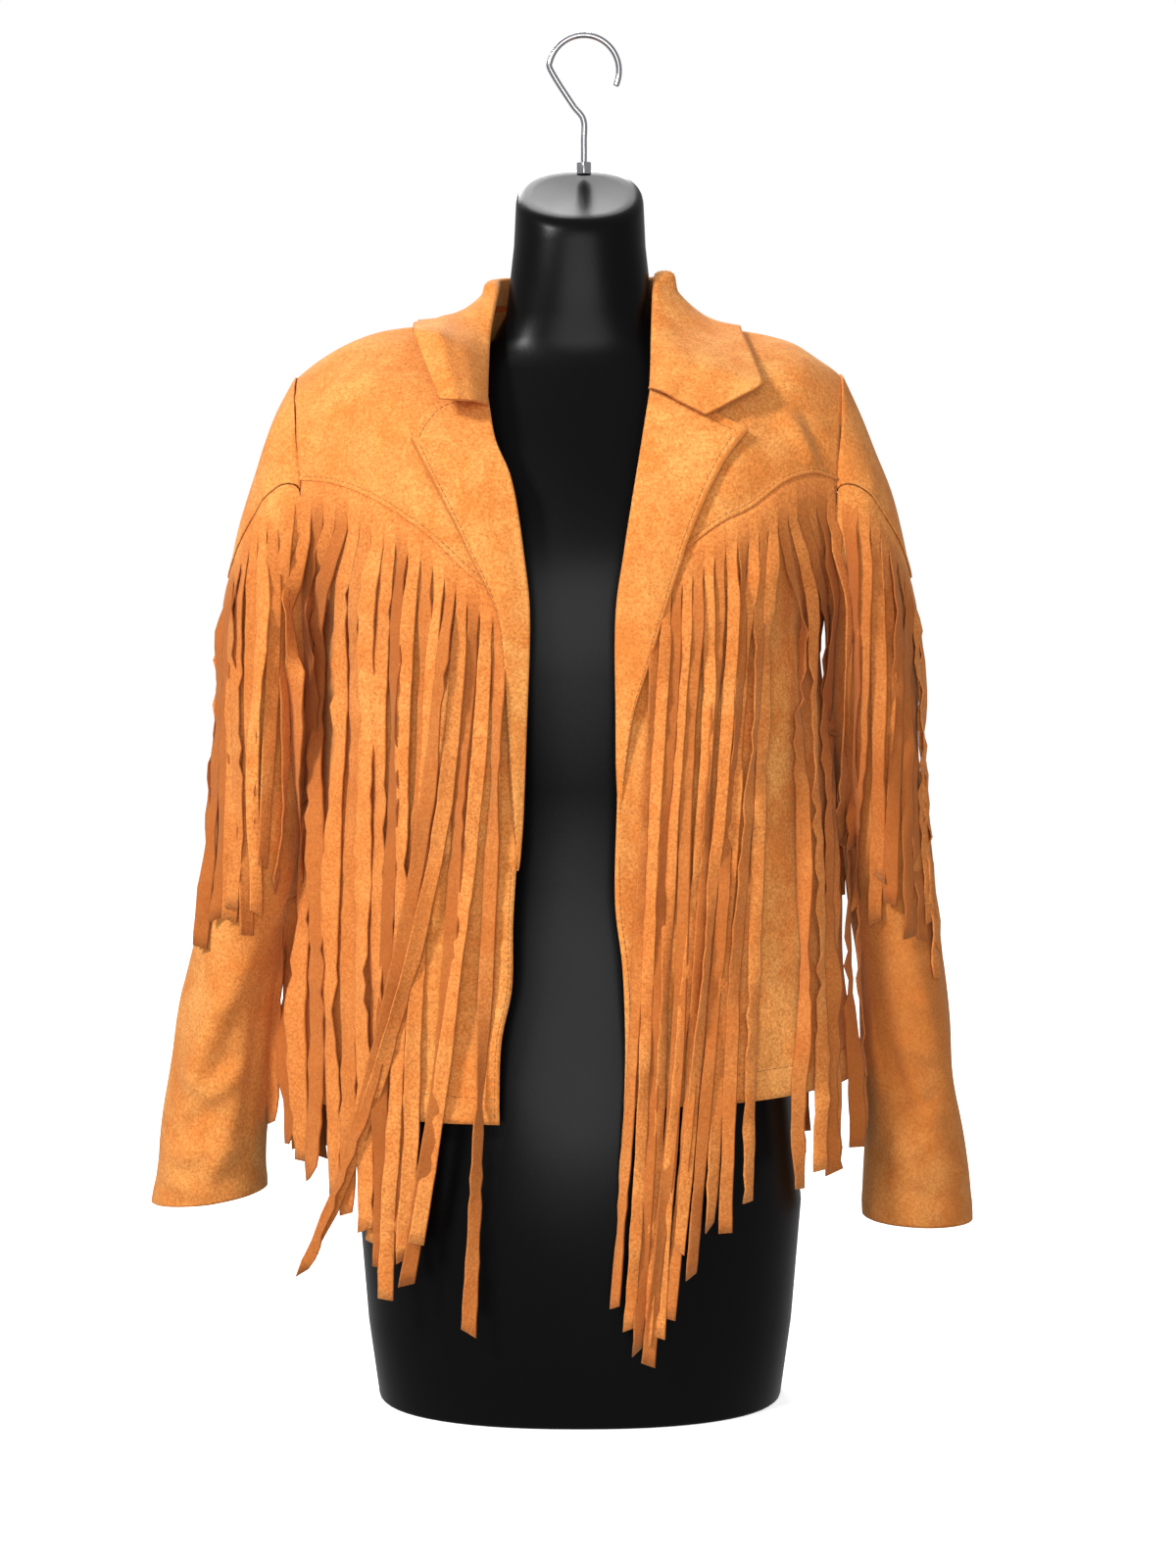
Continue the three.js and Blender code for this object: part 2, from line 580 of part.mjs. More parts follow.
// The wire rises from the nut, swings out to one side and comes over in a round arc.
const ARC = { x: 3, z: 981, radius: 25.8, from: 172, to: -25, steps: 12 };
const hookPoints = [V(NUT.x, NUT.y, NUT.z + NUT.height + 0.3), V(NUT.x, NUT.y, 930),
  V(NUT.x - 0.5, NUT.y, 946), V(NUT.x - 8, NUT.y, 956)];
for (let k = 0; k <= ARC.steps; k += 1) {
  const angle = mix(ARC.from, ARC.to, k / ARC.steps) * Math.PI / 180;
  hookPoints.push(V(ARC.x + ARC.radius * Math.cos(angle), NUT.y, ARC.z + ARC.radius * Math.sin(angle)));
}
const wireSection = new THREE.Shape().absarc(0, 0, WIRE_RADIUS, 0, 2 * Math.PI);
const hookShape = new THREE.ExtrudeGeometry(wireSection, {
  steps: 60, curveSegments: 5, bevelEnabled: false,
  extrudePath: new THREE.CatmullRomCurve3(hookPoints, false, 'centripetal'),
});
add('hook', hookShape, chrome);

export default jacket;
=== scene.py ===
# %% [markdown]
# A cropped suede jacket with long fringe, on a limbless torso form with a wire hook.
# The CAD model gives the frame: every piece here is made in the same place and in metres.
# Each cut piece of suede is a thin sheet, so each starts as a flat grid whose points are moved
# onto a surface that four edge lines span, and then gets its wall from a Solidify modifier.

# %% Load the fixed frame
import math
import random

import bmesh
import bpy
import numpy as np
from mathutils import Matrix, Vector, kdtree
from mathutils.bvhtree import BVHTree


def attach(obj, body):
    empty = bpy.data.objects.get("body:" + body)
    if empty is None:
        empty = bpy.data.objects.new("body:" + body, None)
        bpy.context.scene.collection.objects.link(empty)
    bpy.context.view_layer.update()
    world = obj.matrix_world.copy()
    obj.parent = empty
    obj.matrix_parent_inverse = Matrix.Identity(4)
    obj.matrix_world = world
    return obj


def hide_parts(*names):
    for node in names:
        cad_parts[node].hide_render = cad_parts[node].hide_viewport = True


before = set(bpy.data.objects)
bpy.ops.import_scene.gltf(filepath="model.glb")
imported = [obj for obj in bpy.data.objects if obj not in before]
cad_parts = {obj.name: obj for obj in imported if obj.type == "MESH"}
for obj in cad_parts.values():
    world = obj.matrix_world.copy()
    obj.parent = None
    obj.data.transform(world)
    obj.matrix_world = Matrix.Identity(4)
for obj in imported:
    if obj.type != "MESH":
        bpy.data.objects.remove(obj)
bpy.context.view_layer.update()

MM = 0.001
SIDES = {"left": -1, "right": 1}

# %% [markdown]
# The camera stands two metres in front at chest height and looks a little down, with a lens
# of about 60 mm, as for a catalogue picture. Lamps could be spots, but their hard edges would
# hide the nap, so three round area lamps light the suede: a small key for the shadows under
# lapels and strands, a wide fill, and one from behind. The camera sees a plain white world, and
# the cloth is lit by less than half of it, because it would look flat in an even light.

# %% Camera
CAMERA_AT = Vector((0.006, -1.96, 0.60))
LOOK_AT = Vector((0.006, -0.06, 0.462))
gaze = LOOK_AT - CAMERA_AT
camera = bpy.data.objects.new("camera", bpy.data.cameras.new("camera"))
camera.data.lens = 61.0
camera.data.sensor_width = 36.0
camera.location = CAMERA_AT
camera.rotation_euler = gaze.to_track_quat("-Z", "Y").to_euler()
bpy.context.collection.objects.link(camera)
bpy.context.scene.camera = camera
print("camera looks down by", round(math.degrees(math.atan2(-gaze.z, gaze.y)), 1), "degrees")


# %% Lamps, world and floor
def lamp(name, place, target, size, power):
    data = bpy.data.lights.new(name, "AREA")
    data.shape = "DISK"
    data.size = size
    data.energy = power
    lamp_object = bpy.data.objects.new(name, data)
    lamp_object.location = place
    lamp_object.rotation_euler = (Vector(target) - Vector(place)).to_track_quat("-Z", "Y").to_euler()
    bpy.context.collection.objects.link(lamp_object)


bpy.context.scene.view_settings.view_transform = "Standard"
# name, place, target, size in metres, power in watts
lamp("key", (-1.6, -1.8, 2.0), (0, 0, 0.5), 0.55, 72)
lamp("fill", (0.0, -2.9, 0.7), (0, 0, 0.4), 1.8, 44)
lamp("back_top", (-0.3, 1.9, 2.1), (0, 0, 0.6), 1.2, 60)

WORLD_LIGHT, WORLD_SEEN = 0.45, 1.0
world = bpy.data.worlds.new("white_room")
world.use_nodes = True
world_nodes, world_links = world.node_tree.nodes, world.node_tree.links
seen = world_nodes.new("ShaderNodeLightPath").outputs["Is Camera Ray"]
strength = world_nodes.new("ShaderNodeMapRange")
strength.inputs["To Min"].default_value = WORLD_LIGHT
strength.inputs["To Max"].default_value = WORLD_SEEN
world_links.new(seen, strength.inputs["Value"])
world_nodes["Background"].inputs["Color"].default_value = (1, 1, 1, 1)
world_links.new(strength.outputs["Result"], world_nodes["Background"].inputs["Strength"])
bpy.context.scene.world = world

FLOOR_RADIUS = 9.0
floor_mesh = bmesh.new()
bmesh.ops.create_circle(floor_mesh, cap_ends=True, segments=96, radius=FLOOR_RADIUS)
floor_data = bpy.data.meshes.new("floor")
floor_mesh.to_mesh(floor_data)
floor_mesh.free()
floor = bpy.data.objects.new("floor", floor_data)
bpy.context.collection.objects.link(floor)
floor.visible_diffuse = floor.visible_glossy = False

# %% [markdown]
# Suede is a nap of short fibres. It has no gloss; it scatters light at grazing angles, which
# sheen gives, and it changes tone in soft patches where the nap was brushed another way.
# A picture of suede could give that, but it would need a map without seams. Noises on Object
# coordinates need none: a wide one for clouds, a middle one for brushed patches, a fine one for
# specks, and a last one that gives the fibres a little relief. Each point of a mesh also carries
# a number called shade, which darkens it: each strand by a tone of its own, and as painted shade
# the strands' edges away from the key lamp, the rims of lapels and collar, and the sleeves.

# %% Helpers for materials
def new_material(name):
    material = bpy.data.materials.new(name)
    material.use_nodes = True
    nodes, links = material.node_tree.nodes, material.node_tree.links
    return material, nodes, links, nodes["Principled BSDF"]


def noise(nodes, links, vector, scale, detail, roughness=0.5):
    node = nodes.new("ShaderNodeTexNoise")
    node.inputs["Scale"].default_value = scale
    node.inputs["Detail"].default_value = detail
    node.inputs["Roughness"].default_value = roughness
    links.new(vector, node.inputs["Vector"])
    return node.outputs["Fac"]


def spread(nodes, links, value, low, high, to_low=0.0, to_high=1.0):
    node = nodes.new("ShaderNodeMapRange")
    for name, number in zip(("From Min", "From Max", "To Min", "To Max"), (low, high, to_low, to_high)):
        node.inputs[name].default_value = number
    links.new(value, node.inputs["Value"])
    return node.outputs["Result"]


def blend_colors(nodes, links, factor, first, second):
    node = nodes.new("ShaderNodeMix")
    node.data_type = "RGBA"
    links.new(factor, node.inputs["Factor"])
    for socket, color in ((node.inputs[6], first), (node.inputs[7], second)):
        if isinstance(color, tuple):
            socket.default_value = (*color, 1.0)
        else:
            links.new(color, socket)
    return node.outputs[2]


def add_bump(nodes, links, shader, height, strength, distance):
    node = nodes.new("ShaderNodeBump")
    node.inputs["Strength"].default_value = strength
    node.inputs["Distance"].default_value = distance
    links.new(height, node.inputs["Height"])
    links.new(node.outputs["Normal"], shader.inputs["Normal"])


# %% Suede
SHADE = "shade"


def suede_material(name, pale, deep, dark, contrast):
    """contrast says how strongly the brushed patches stand out."""
    material, nodes, links, shader = new_material(name)
    place = nodes.new("ShaderNodeTexCoord").outputs["Object"]
    clouds = spread(nodes, links, noise(nodes, links, place, 9.0, 3.0, 0.55), 0.35, 0.65)
    between = tuple(0.4 * a + 0.6 * b for a, b in zip(pale, deep))
    color = blend_colors(nodes, links, clouds, pale, between)
    brushed = noise(nodes, links, place, 30.0, 6.0, 0.7)
    color = blend_colors(nodes, links, spread(nodes, links, brushed, 0.40, 0.62, 0.0, contrast), color, deep)
    grain = noise(nodes, links, place, 480.0, 4.0, 0.8)
    color = blend_colors(nodes, links, spread(nodes, links, grain, 0.38, 0.66, 0.0, 0.7), color, dark)
    # shade: each strand's own tone, and painted shade on strand edges, rims and sleeves
    tone = nodes.new("ShaderNodeAttribute")
    tone.attribute_name = SHADE
    color = blend_colors(nodes, links, tone.outputs["Fac"], color, dark)
    links.new(color, shader.inputs["Base Color"])
    shader.inputs["Roughness"].default_value = 0.95
    shader.inputs["Specular IOR Level"].default_value = 0.1
    shader.inputs["Sheen Weight"].default_value = 0.22
    shader.inputs["Sheen Roughness"].default_value = 0.5
    shader.inputs["Sheen Tint"].default_value = (1.0, 0.66, 0.36, 1.0)
    add_bump(nodes, links, shader, noise(nodes, links, place, 800.0, 4.0, 0.7), 0.5, 0.0007)
    return material


SUEDE = suede_material("suede", (0.92, 0.42, 0.115), (0.74, 0.225, 0.042), (0.36, 0.105, 0.02), 0.9)
FRINGE_SUEDE = suede_material("fringe_suede", (0.96, 0.385, 0.10), (0.74, 0.225, 0.045),
                              (0.34, 0.085, 0.017), 0.8)
print("suede nodes", len(SUEDE.node_tree.nodes))

# %% [markdown]
# The other finishes are plain. Thread is matt. The form is moulded in black plastic, and one
# roughness all over would make it look like glass, so a slow noise lets it wander a little; the
# same helper does it for the polished wire of the hook. The floor only carries the form, and it
# shines by itself so that it is as white as the world behind it.

# %% Thread, plastic, chrome and floor
THREAD, _, _, thread_shader = new_material("thread")
thread_shader.inputs["Base Color"].default_value = (0.34, 0.12, 0.03, 1)
thread_shader.inputs["Roughness"].default_value = 0.6


def uneven_gloss(nodes, links, shader, size, detail, lowest, highest):
    """Lets the roughness wander between two values."""
    place = nodes.new("ShaderNodeTexCoord").outputs["Object"]
    wander = spread(nodes, links, noise(nodes, links, place, size, detail), 0.3, 0.7, lowest, highest)
    links.new(wander, shader.inputs["Roughness"])
    return place


BLACK, nodes, links, shader = new_material("black_plastic")
shader.inputs["Base Color"].default_value = (0.002, 0.002, 0.0022, 1)
shader.inputs["Specular IOR Level"].default_value = 0.1
place = uneven_gloss(nodes, links, shader, 6.0, 3.0, 0.26, 0.36)
add_bump(nodes, links, shader, noise(nodes, links, place, 700.0, 2.0), 0.12, 0.0004)

CHROME, nodes, links, shader = new_material("chrome")
shader.inputs["Base Color"].default_value = (0.42, 0.42, 0.44, 1)
shader.inputs["Metallic"].default_value = 1.0
uneven_gloss(nodes, links, shader, 90.0, 2.0, 0.10, 0.2)

FLOOR, _, _, floor_shader = new_material("pale_floor")
floor_shader.inputs["Base Color"].default_value = (0.8, 0.8, 0.8, 1)
floor_shader.inputs["Roughness"].default_value = 0.9
floor_shader.inputs["Emission Color"].default_value = (1, 1, 1, 1)
floor_shader.inputs["Emission Strength"].default_value = 0.66
floor.data.materials.append(FLOOR)
print("materials", [m.name for m in (SUEDE, FRINGE_SUEDE, THREAD, BLACK, CHROME, FLOOR)])

# %% [markdown]
# The pattern of the jacket is a set of lines: front edge, neck, hem, side seam, yoke seam and
# shoulder. The panels could be sculpted by hand, but then seams would gape. So each line is a
# short table of rows [distance from the middle, y, z] in millimetres, the same rows as in the
# CAD. A smooth curve goes through the rows, and all the pieces that meet at a seam share that
# seam's curve, so they fit each other.

# %% The pattern's lines
LINES = {
    "left": {
        "front_edge": [[56, -113, 225], [54, -113, 285], [47, -113, 322], [46, -112, 369],
                       [42, -112, 434], [39, -114, 495], [36, -117, 586]],
        "neck_edge": [[36, -117, 586], [39, -117, 617], [49, -110, 678], [60, -98, 704],
                      [68, -84, 724], [72, -58, 752], [74, -32, 778], [70, 0, 800]],
        "hem": [[56, -113, 225], [110, -106, 226], [168, -76, 229], [205, -38, 231], [216, 0, 232]],
        "side_seam": [[216, 0, 232], [208, 0, 300], [198, 0, 420], [192, 0, 520], [190, 0, 590]],
        "yoke_seam": [[36, -117, 586], [69, -117, 606], [103, -113, 637], [125, -106, 653],
                      [149, -93, 667], [175, -77, 676]],
        "shoulder": [[70, 0, 800], [100, 0, 795], [145, 0, 789], [170, 0, 780], [192, 0, 767]],
        "back_hem": [[216, 0, 232], [203, 42, 232], [160, 82, 232], [80, 104, 232], [0, 108, 232]],
        "back_seam": [[172, 79, 676], [150, 92, 668], [100, 106, 640], [50, 112, 610], [0, 113, 596]],
    },
    "right": {
        "front_edge": [[31, -110, 236], [32, -110, 282], [30, -110, 337], [25, -110, 380],
                       [26, -111, 450], [27, -114, 510], [27, -117, 586]],
        "neck_edge": [[27, -117, 586], [33, -117, 629], [40, -110, 673], [46, -100, 709],
                      [55, -84, 735], [62, -58, 758], [68, -30, 780], [70, 0, 800]],
        "hem": [[31, -110, 236], [100, -105, 238], [150, -82, 240], [190, -42, 242], [206, 0, 243]],
        "side_seam": [[206, 0, 243], [200, 0, 300], [190, 0, 420], [180, 0, 520], [176, 0, 590]],
        "yoke_seam": [[27, -117, 586], [75, -117, 630], [99, -113, 648], [117, -107, 657],
                      [144, -92, 677], [165, -76, 683]],
        "shoulder": [[70, 0, 800], [98, 0, 793], [138, 0, 786], [159, 0, 779], [178, 0, 765]],
        "back_hem": [[206, 0, 243], [193, 42, 240], [155, 80, 236], [80, 104, 232], [0, 108, 232]],
        "back_seam": [[160, 79, 683], [140, 92, 674], [95, 106, 642], [50, 112, 610], [0, 113, 596]],
    },
}
print("lines on each side", len(LINES["left"]))

# %% Curves
SAMPLES_PER_SPAN = 40


def through(rows):
    """A smooth curve through rows, as a function of the share of its length."""
    points = np.array(rows, float)
    ends = np.vstack([2 * points[0] - points[1], points, 2 * points[-1] - points[-2]])
    knots = np.concatenate([[0], np.cumsum(np.sqrt(np.linalg.norm(np.diff(ends, axis=0), axis=1)))])
    samples = []
    for k in range(1, len(ends) - 2):
        t = np.linspace(knots[k], knots[k + 1], SAMPLES_PER_SPAN, endpoint=False)[:, None]
        t0, t1, t2, t3 = knots[k - 1:k + 3]
        p0, p1, p2, p3 = ends[k - 1:k + 3]
        a1 = (t1 - t) / (t1 - t0) * p0 + (t - t0) / (t1 - t0) * p1
        a2 = (t2 - t) / (t2 - t1) * p1 + (t - t1) / (t2 - t1) * p2
        a3 = (t3 - t) / (t3 - t2) * p2 + (t - t2) / (t3 - t2) * p3
        b1 = (t2 - t) / (t2 - t0) * a1 + (t - t0) / (t2 - t0) * a2
        b2 = (t3 - t) / (t3 - t1) * a2 + (t - t1) / (t3 - t1) * a3
        samples.append((t2 - t) / (t2 - t1) * b1 + (t - t1) / (t2 - t1) * b2)
    samples = np.vstack([*samples, points[-1:]])
    length = np.concatenate([[0], np.cumsum(np.linalg.norm(np.diff(samples, axis=0), axis=1))])

    def at(share):
        where = np.clip(share, 0, 1) * length[-1]
        return np.stack([np.interp(where, length, samples[:, axis]) for axis in range(3)], axis=-1)
    return at


def joined(*parts):
    """One curve made of several, each taking its share of the way."""
    def at(share):
        share = np.asarray(share, float)
        result, start = np.zeros((*share.shape, 3)), 0.0
        for size, curve in parts:
            here = share >= start - 1e-9
            result[here] = curve(np.clip((share[here] - start) / size, 0, 1))
            start += size
        return result
    return at


def backwards(curve):
    return lambda share: curve(1 - np.asarray(share, float))


# %% Armholes
ARMPIT_Z, SHOULDER_TIP_Z, ARMHOLE_DEPTH = 590.0, 755.0, 62.0
SHOULDER_TIP = {"left": 207.0, "right": 190.0}
FRONT_MEET = 0.012                 # the turn at which the yoke seam meets the armhole
BACK_MEET = 0.5 - FRONT_MEET


def armhole(side, turn):
    """Turn 0 is the front of the armhole, a quarter its top, a half its back."""
    angle = np.asarray(turn, float) * 2 * math.pi
    height = np.sin(angle)
    low, tip = LINES[side]["side_seam"][-1][0], SHOULDER_TIP[side]
    x = SIDES[side] * (low + (tip - low) * (height + 1) / 2)
    z = (ARMPIT_Z + SHOULDER_TIP_Z) / 2 + height * (SHOULDER_TIP_Z - ARMPIT_Z) / 2
    return np.stack([x, -ARMHOLE_DEPTH * np.cos(angle), z], axis=-1)


def armhole_curve(side, start, end):
    return lambda share: armhole(side, start + (end - start) * np.asarray(share, float))


def curves_of(side):
    rows = {name: [[SIDES[side] * x, y, z] for x, y, z in table] for name, table in LINES[side].items()}
    rows["yoke_seam"].append(list(armhole(side, FRONT_MEET)))
    rows["shoulder"].append(list(armhole(side, 0.25)))
    rows["back_seam"].insert(0, list(armhole(side, BACK_MEET)))
    return {name: through(table) for name, table in rows.items()}


CURVES = {side: curves_of(side) for side in SIDES}
print("armhole", ARMPIT_Z, "to", SHOULDER_TIP_Z, "mm high")

# %% [markdown]
# A panel is the surface that spans its four edge lines. A grid filled by hand would do for a
# flat panel, but these wrap round a chest. So bottom and top are joined by straight threads, and
# what the two side edges do between their ends is added, fading inwards. A normal comes from two
# small steps along the surface.

# %% Surfaces from lines
def patch(bottom, top, left, right, reach=1):
    """Spans four edges. A higher reach keeps the side edges' shape nearer to them."""
    def at(u, v):
        u, v = np.asarray(u, float), np.asarray(v, float)

        def ruled(share):
            share = share + np.zeros_like(v)
            return bottom(share) * (1 - v)[..., None] + top(share) * v[..., None]
        return (ruled(u) + (left(v) - ruled(0.0)) * ((1 - u) ** reach)[..., None]
                + (right(v) - ruled(1.0)) * (u ** reach)[..., None])
    return at


def normals_of(surface, u, v, facing, step=0.004):
    u, v = np.asarray(u, float), np.asarray(v, float)
    along = surface(np.minimum(1, u + step), v) - surface(np.maximum(0, u - step), v)
    up = surface(u, np.minimum(1, v + step)) - surface(u, np.maximum(0, v - step))
    out = np.cross(along, up) * facing
    return out / np.maximum(1e-9, np.linalg.norm(out, axis=-1, keepdims=True))


# %% Fronts, yokes and back as surfaces
SIDE_SHARE = 0.72                  # of a front's outer edge; the rest runs up the armhole
SIDE_REACH = 3


def front_surface(side):
    c = CURVES[side]
    outer = joined((SIDE_SHARE, c["side_seam"]), (1 - SIDE_SHARE, armhole_curve(side, -0.25, FRONT_MEET)))
    return patch(c["hem"], c["yoke_seam"], c["front_edge"], outer, SIDE_REACH)


def yoke_surface(side):
    c = CURVES[side]
    return patch(c["yoke_seam"], c["shoulder"], c["neck_edge"], armhole_curve(side, FRONT_MEET, 0.25))


def both_sides(name):
    return joined((0.5, CURVES["left"][name]), (0.5, backwards(CURVES["right"][name])))


def back_edge(side):
    return joined((SIDE_SHARE, CURVES[side]["side_seam"]),
                  (1 - SIDE_SHARE, armhole_curve(side, 0.75, BACK_MEET)))


BACK_NECK = [[-70, 0, 800], [-62, 28, 806], [-38, 52, 810], [0, 62, 811],
             [38, 52, 810], [62, 28, 806], [70, 0, 800]]
NECK_SHARE = 0.34
back_yoke_top = joined(((1 - NECK_SHARE) / 2, backwards(CURVES["left"]["shoulder"])),
                       (NECK_SHARE, through(BACK_NECK)),
                       ((1 - NECK_SHARE) / 2, CURVES["right"]["shoulder"]))
FRONT = {side: front_surface(side) for side in SIDES}
YOKE = {side: yoke_surface(side) for side in SIDES}
BACK = patch(both_sides("back_hem"), both_sides("back_seam"), back_edge("left"), back_edge("right"),
             SIDE_REACH)
BACK_YOKE = patch(both_sides("back_seam"), back_yoke_top, armhole_curve("left", BACK_MEET, 0.25),
                  armhole_curve("right", BACK_MEET, 0.25))
print("middle of the back", BACK(0.5, 0.5).round(1))

# %% [markdown]
# Worn cloth is never quite smooth. A cloth simulation could crease it, but not where this one
# is creased. Each crease is given as one row: from one point to another, how wide it is
# and how high it stands, or how deep when the height is negative. A crease fades out at both of
# its ends. Long soft swells lie over the whole garment.

# %% Creases and swells
FOLDS = [
    # x1, y1, z1, x2, y2, z2, width, height
    (-172, -60, 775, -182, -75, 712, 8, 1.8), (-160, -70, 762, -168, -85, 705, 10, -1.6),
    (-120, -80, 770, -112, -104, 700, 14, 1.3), (-140, -90, 735, -90, -112, 650, 16, -1.2),
    (146, -80, 722, 166, -74, 684, 7, 3.6), (158, -70, 726, 172, -66, 692, 6, -2.2),
    (120, -92, 720, 96, -112, 668, 14, 1.4), (100, -70, 775, 118, -84, 745, 12, -1.4),
    (60, -112, 560, 150, -100, 470, 15, 1.8), (70, -112, 500, 165, -85, 440, 12, -1.6),
    (120, -105, 430, 175, -65, 415, 9, 1.9), (112, -106, 395, 160, -80, 372, 7, 1.7),
    (120, -104, 352, 150, -88, 340, 6, 1.5), (135, -96, 318, 172, -66, 330, 8, -1.8),
    (100, -108, 300, 128, -100, 262, 7, 1.6), (150, -82, 300, 158, -78, 250, 10, 1.8),
    (60, -110, 420, 70, -110, 262, 12, 2.2), (38, -112, 440, 44, -112, 300, 8, -1.8),
    (-50, -113, 380, -62, -112, 236, 9, 2.6), (-66, -112, 360, -84, -110, 240, 10, -2.0),
    (-70, -114, 560, -120, -104, 440, 16, 1.8), (-90, -110, 400, -130, -98, 260, 14, 2.0),
    (-150, -90, 420, -160, -80, 250, 12, -2.0), (-180, -60, 500, -190, -50, 300, 14, 2.2),
    (-60, 110, 560, -90, 104, 380, 18, 2.2), (60, 110, 540, 70, 106, 330, 16, -2.2),
    (0, 113, 480, 10, 110, 260, 18, 2.4), (-130, 92, 520, -150, 86, 300, 16, 2.2),
    (130, 94, 480, 140, 86, 270, 14, 2.4), (-30, 112, 340, -48, 108, 240, 12, -2.2),
    (-120, 84, 735, -80, 104, 665, 14, 1.8), (110, 84, 735, 70, 106, 660, 14, 1.8),
    (-30, 96, 740, -8, 110, 660, 12, 1.4), (160, 60, 735, 145, 88, 690, 9, -1.8),
    (-252, -28, 330, -288, -24, 185, 9, 3.0), (-232, -20, 306, -246, -26, 170, 8, -2.6),
    (-238, -30, 258, -268, -30, 230, 7, 2.2), (-262, -30, 215, -300, -18, 196, 8, -2.2),
    (-240, -26, 196, -286, -28, 170, 8, 2.4), (-292, 0, 300, -306, 10, 190, 9, 2.0),
    (-250, 62, 330, -284, 60, 190, 10, 2.8), (-232, 56, 420, -262, 62, 380, 9, 2.4),
    (-204, -20, 560, -236, -54, 520, 9, 2.6), (-206, -30, 520, -240, -50, 470, 8, -2.4),
    (-206, 40, 560, -244, 66, 520, 9, 2.6), (-208, 46, 500, -246, 66, 470, 8, -2.4),
    (-236, -52, 690, -212, -62, 640, 8, 1.8), (-256, -20, 560, -262, 30, 520, 9, 1.8),
    (258, -16, 330, 280, 0, 200, 9, 2.4), (226, -14, 300, 246, -14, 180, 9, -2.4),
    (222, -10, 236, 262, -16, 210, 8, 2.2), (240, -14, 178, 284, 0, 168, 7, 2.0),
    (196, -20, 560, 230, -50, 515, 9, 2.6), (198, -26, 515, 236, -44, 470, 8, -2.4),
    (196, 44, 560, 236, 70, 520, 9, 2.6), (240, 70, 400, 266, 62, 240, 10, 2.6),
    (220, 66, 330, 244, 62, 190, 9, -2.4), (222, -48, 700, 200, -60, 650, 8, 1.6),
    (118, -100, 455, 152, -90, 438, 4, 1.2), (126, -98, 418, 166, -80, 428, 4, -1.2),
    (122, -102, 378, 150, -92, 362, 4, 1.3), (134, -96, 340, 168, -76, 352, 4, -1.2),
    (110, -106, 300, 140, -96, 284, 4, 1.2), (96, -108, 330, 128, -102, 318, 4, -1.0),
    (-206, -40, 745, -232, -30, 690, 5, 2.0), (-214, -52, 730, -222, -60, 660, 6, -1.8),
    (-296, -27, 250, -262, -38, 226, 6, 2.4), (-292, -31, 205, -256, -34, 232, 6, -2.2),
    (-302, -27, 180, -266, -31, 192, 6, 2.4), (-258, -38, 300, -284, -33, 284, 5, 2.0),
    (-246, -32, 262, -270, -38, 250, 5, -2.0), (-308, -22, 165, -280, -30, 158, 6, 2.0),
    (-240, -34, 335, -290, -32, 240, 9, 3.2), (-250, -36, 290, -300, -28, 182, 9, -2.8),
    (-252, -30, 222, -274, -31, 160, 8, 2.6), (232, -17, 270, 262, -21, 256, 6, 2.2),
    (236, -19, 214, 266, -19, 226, 6, -2.2), (240, -28, 340, 272, -16, 232, 9, 3.2),
    (228, -17, 255, 262, -21, 170, 8, -2.8), (226, -10, 182, 256, -22, 192, 6, 2.4),
    (244, -25, 300, 262, -20, 292, 5, 2.0), (238, -18, 160, 268, -18, 148, 6, -2.0),
]
CREASE_GAIN = 1.5                  # all creases stand this many times as high as their rows say
CREASE_ENDS = (0.12, 0.88)         # the part of a half wave over which a crease rises and falls
# how fast a swell changes along x, y and z, and its height
SWELLS = [(0.021, 0.006, 0.013, 0.9), (-0.015, 0.011, 0.024, 0.8), (0.034, -0.02, 0.03, 0.45),
          (0.05, 0.033, -0.017, 0.35), (-0.07, 0.05, 0.041, 0.2)]


def relief(points):
    """How far each point stands off the plain surface, in millimetres."""
    height = np.zeros(len(points))
    low, high = CREASE_ENDS
    for x1, y1, z1, x2, y2, z2, width, top in FOLDS:
        start, way = np.array([x1, y1, z1], float), np.array([x2 - x1, y2 - y1, z2 - z1], float)
        share = ((points - start) @ way) / (way @ way)
        inside = np.clip(share, 0, 1)
        gap = np.linalg.norm(points - start - inside[:, None] * way, axis=1)
        fade = np.sin(math.pi * (low + (high - low) * inside)) ** 0.8
        height += CREASE_GAIN * top * np.exp(-(gap / width) ** 2) * fade
    for kx, ky, kz, size in SWELLS:
        height += size * np.sin(points @ np.array([kx, ky, kz]) * 2 + kx * 300)
    return height


print("creases", len(FOLDS))

# %% [markdown]
# One helper makes every sheet: a flat grid, its points moved by a function of (u, v), its own UV
# map for patterns that follow the cloth, and a wall that grows inwards. The wall could be
# extruded, but a Solidify modifier keeps the sheet itself simple to measure.

# %% Sheet helper
CLOTH = 1.3                        # thickness of the suede
JOIN = 0.0001                      # points of one sheet this close are one, in metres


def smooth(value):
    """Runs from 0 to 1 with soft ends while value does."""
    value = np.clip(value, 0, 1)
    return value * value * (3 - 2 * value)


def add_object(name, mesh_data, material):
    piece = bpy.data.objects.new(name, mesh_data)
    bpy.context.collection.objects.link(piece)
    piece.data.materials.append(material)
    for polygon in mesh_data.polygons:
        polygon.use_smooth = True
    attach(piece, "root")
    return piece


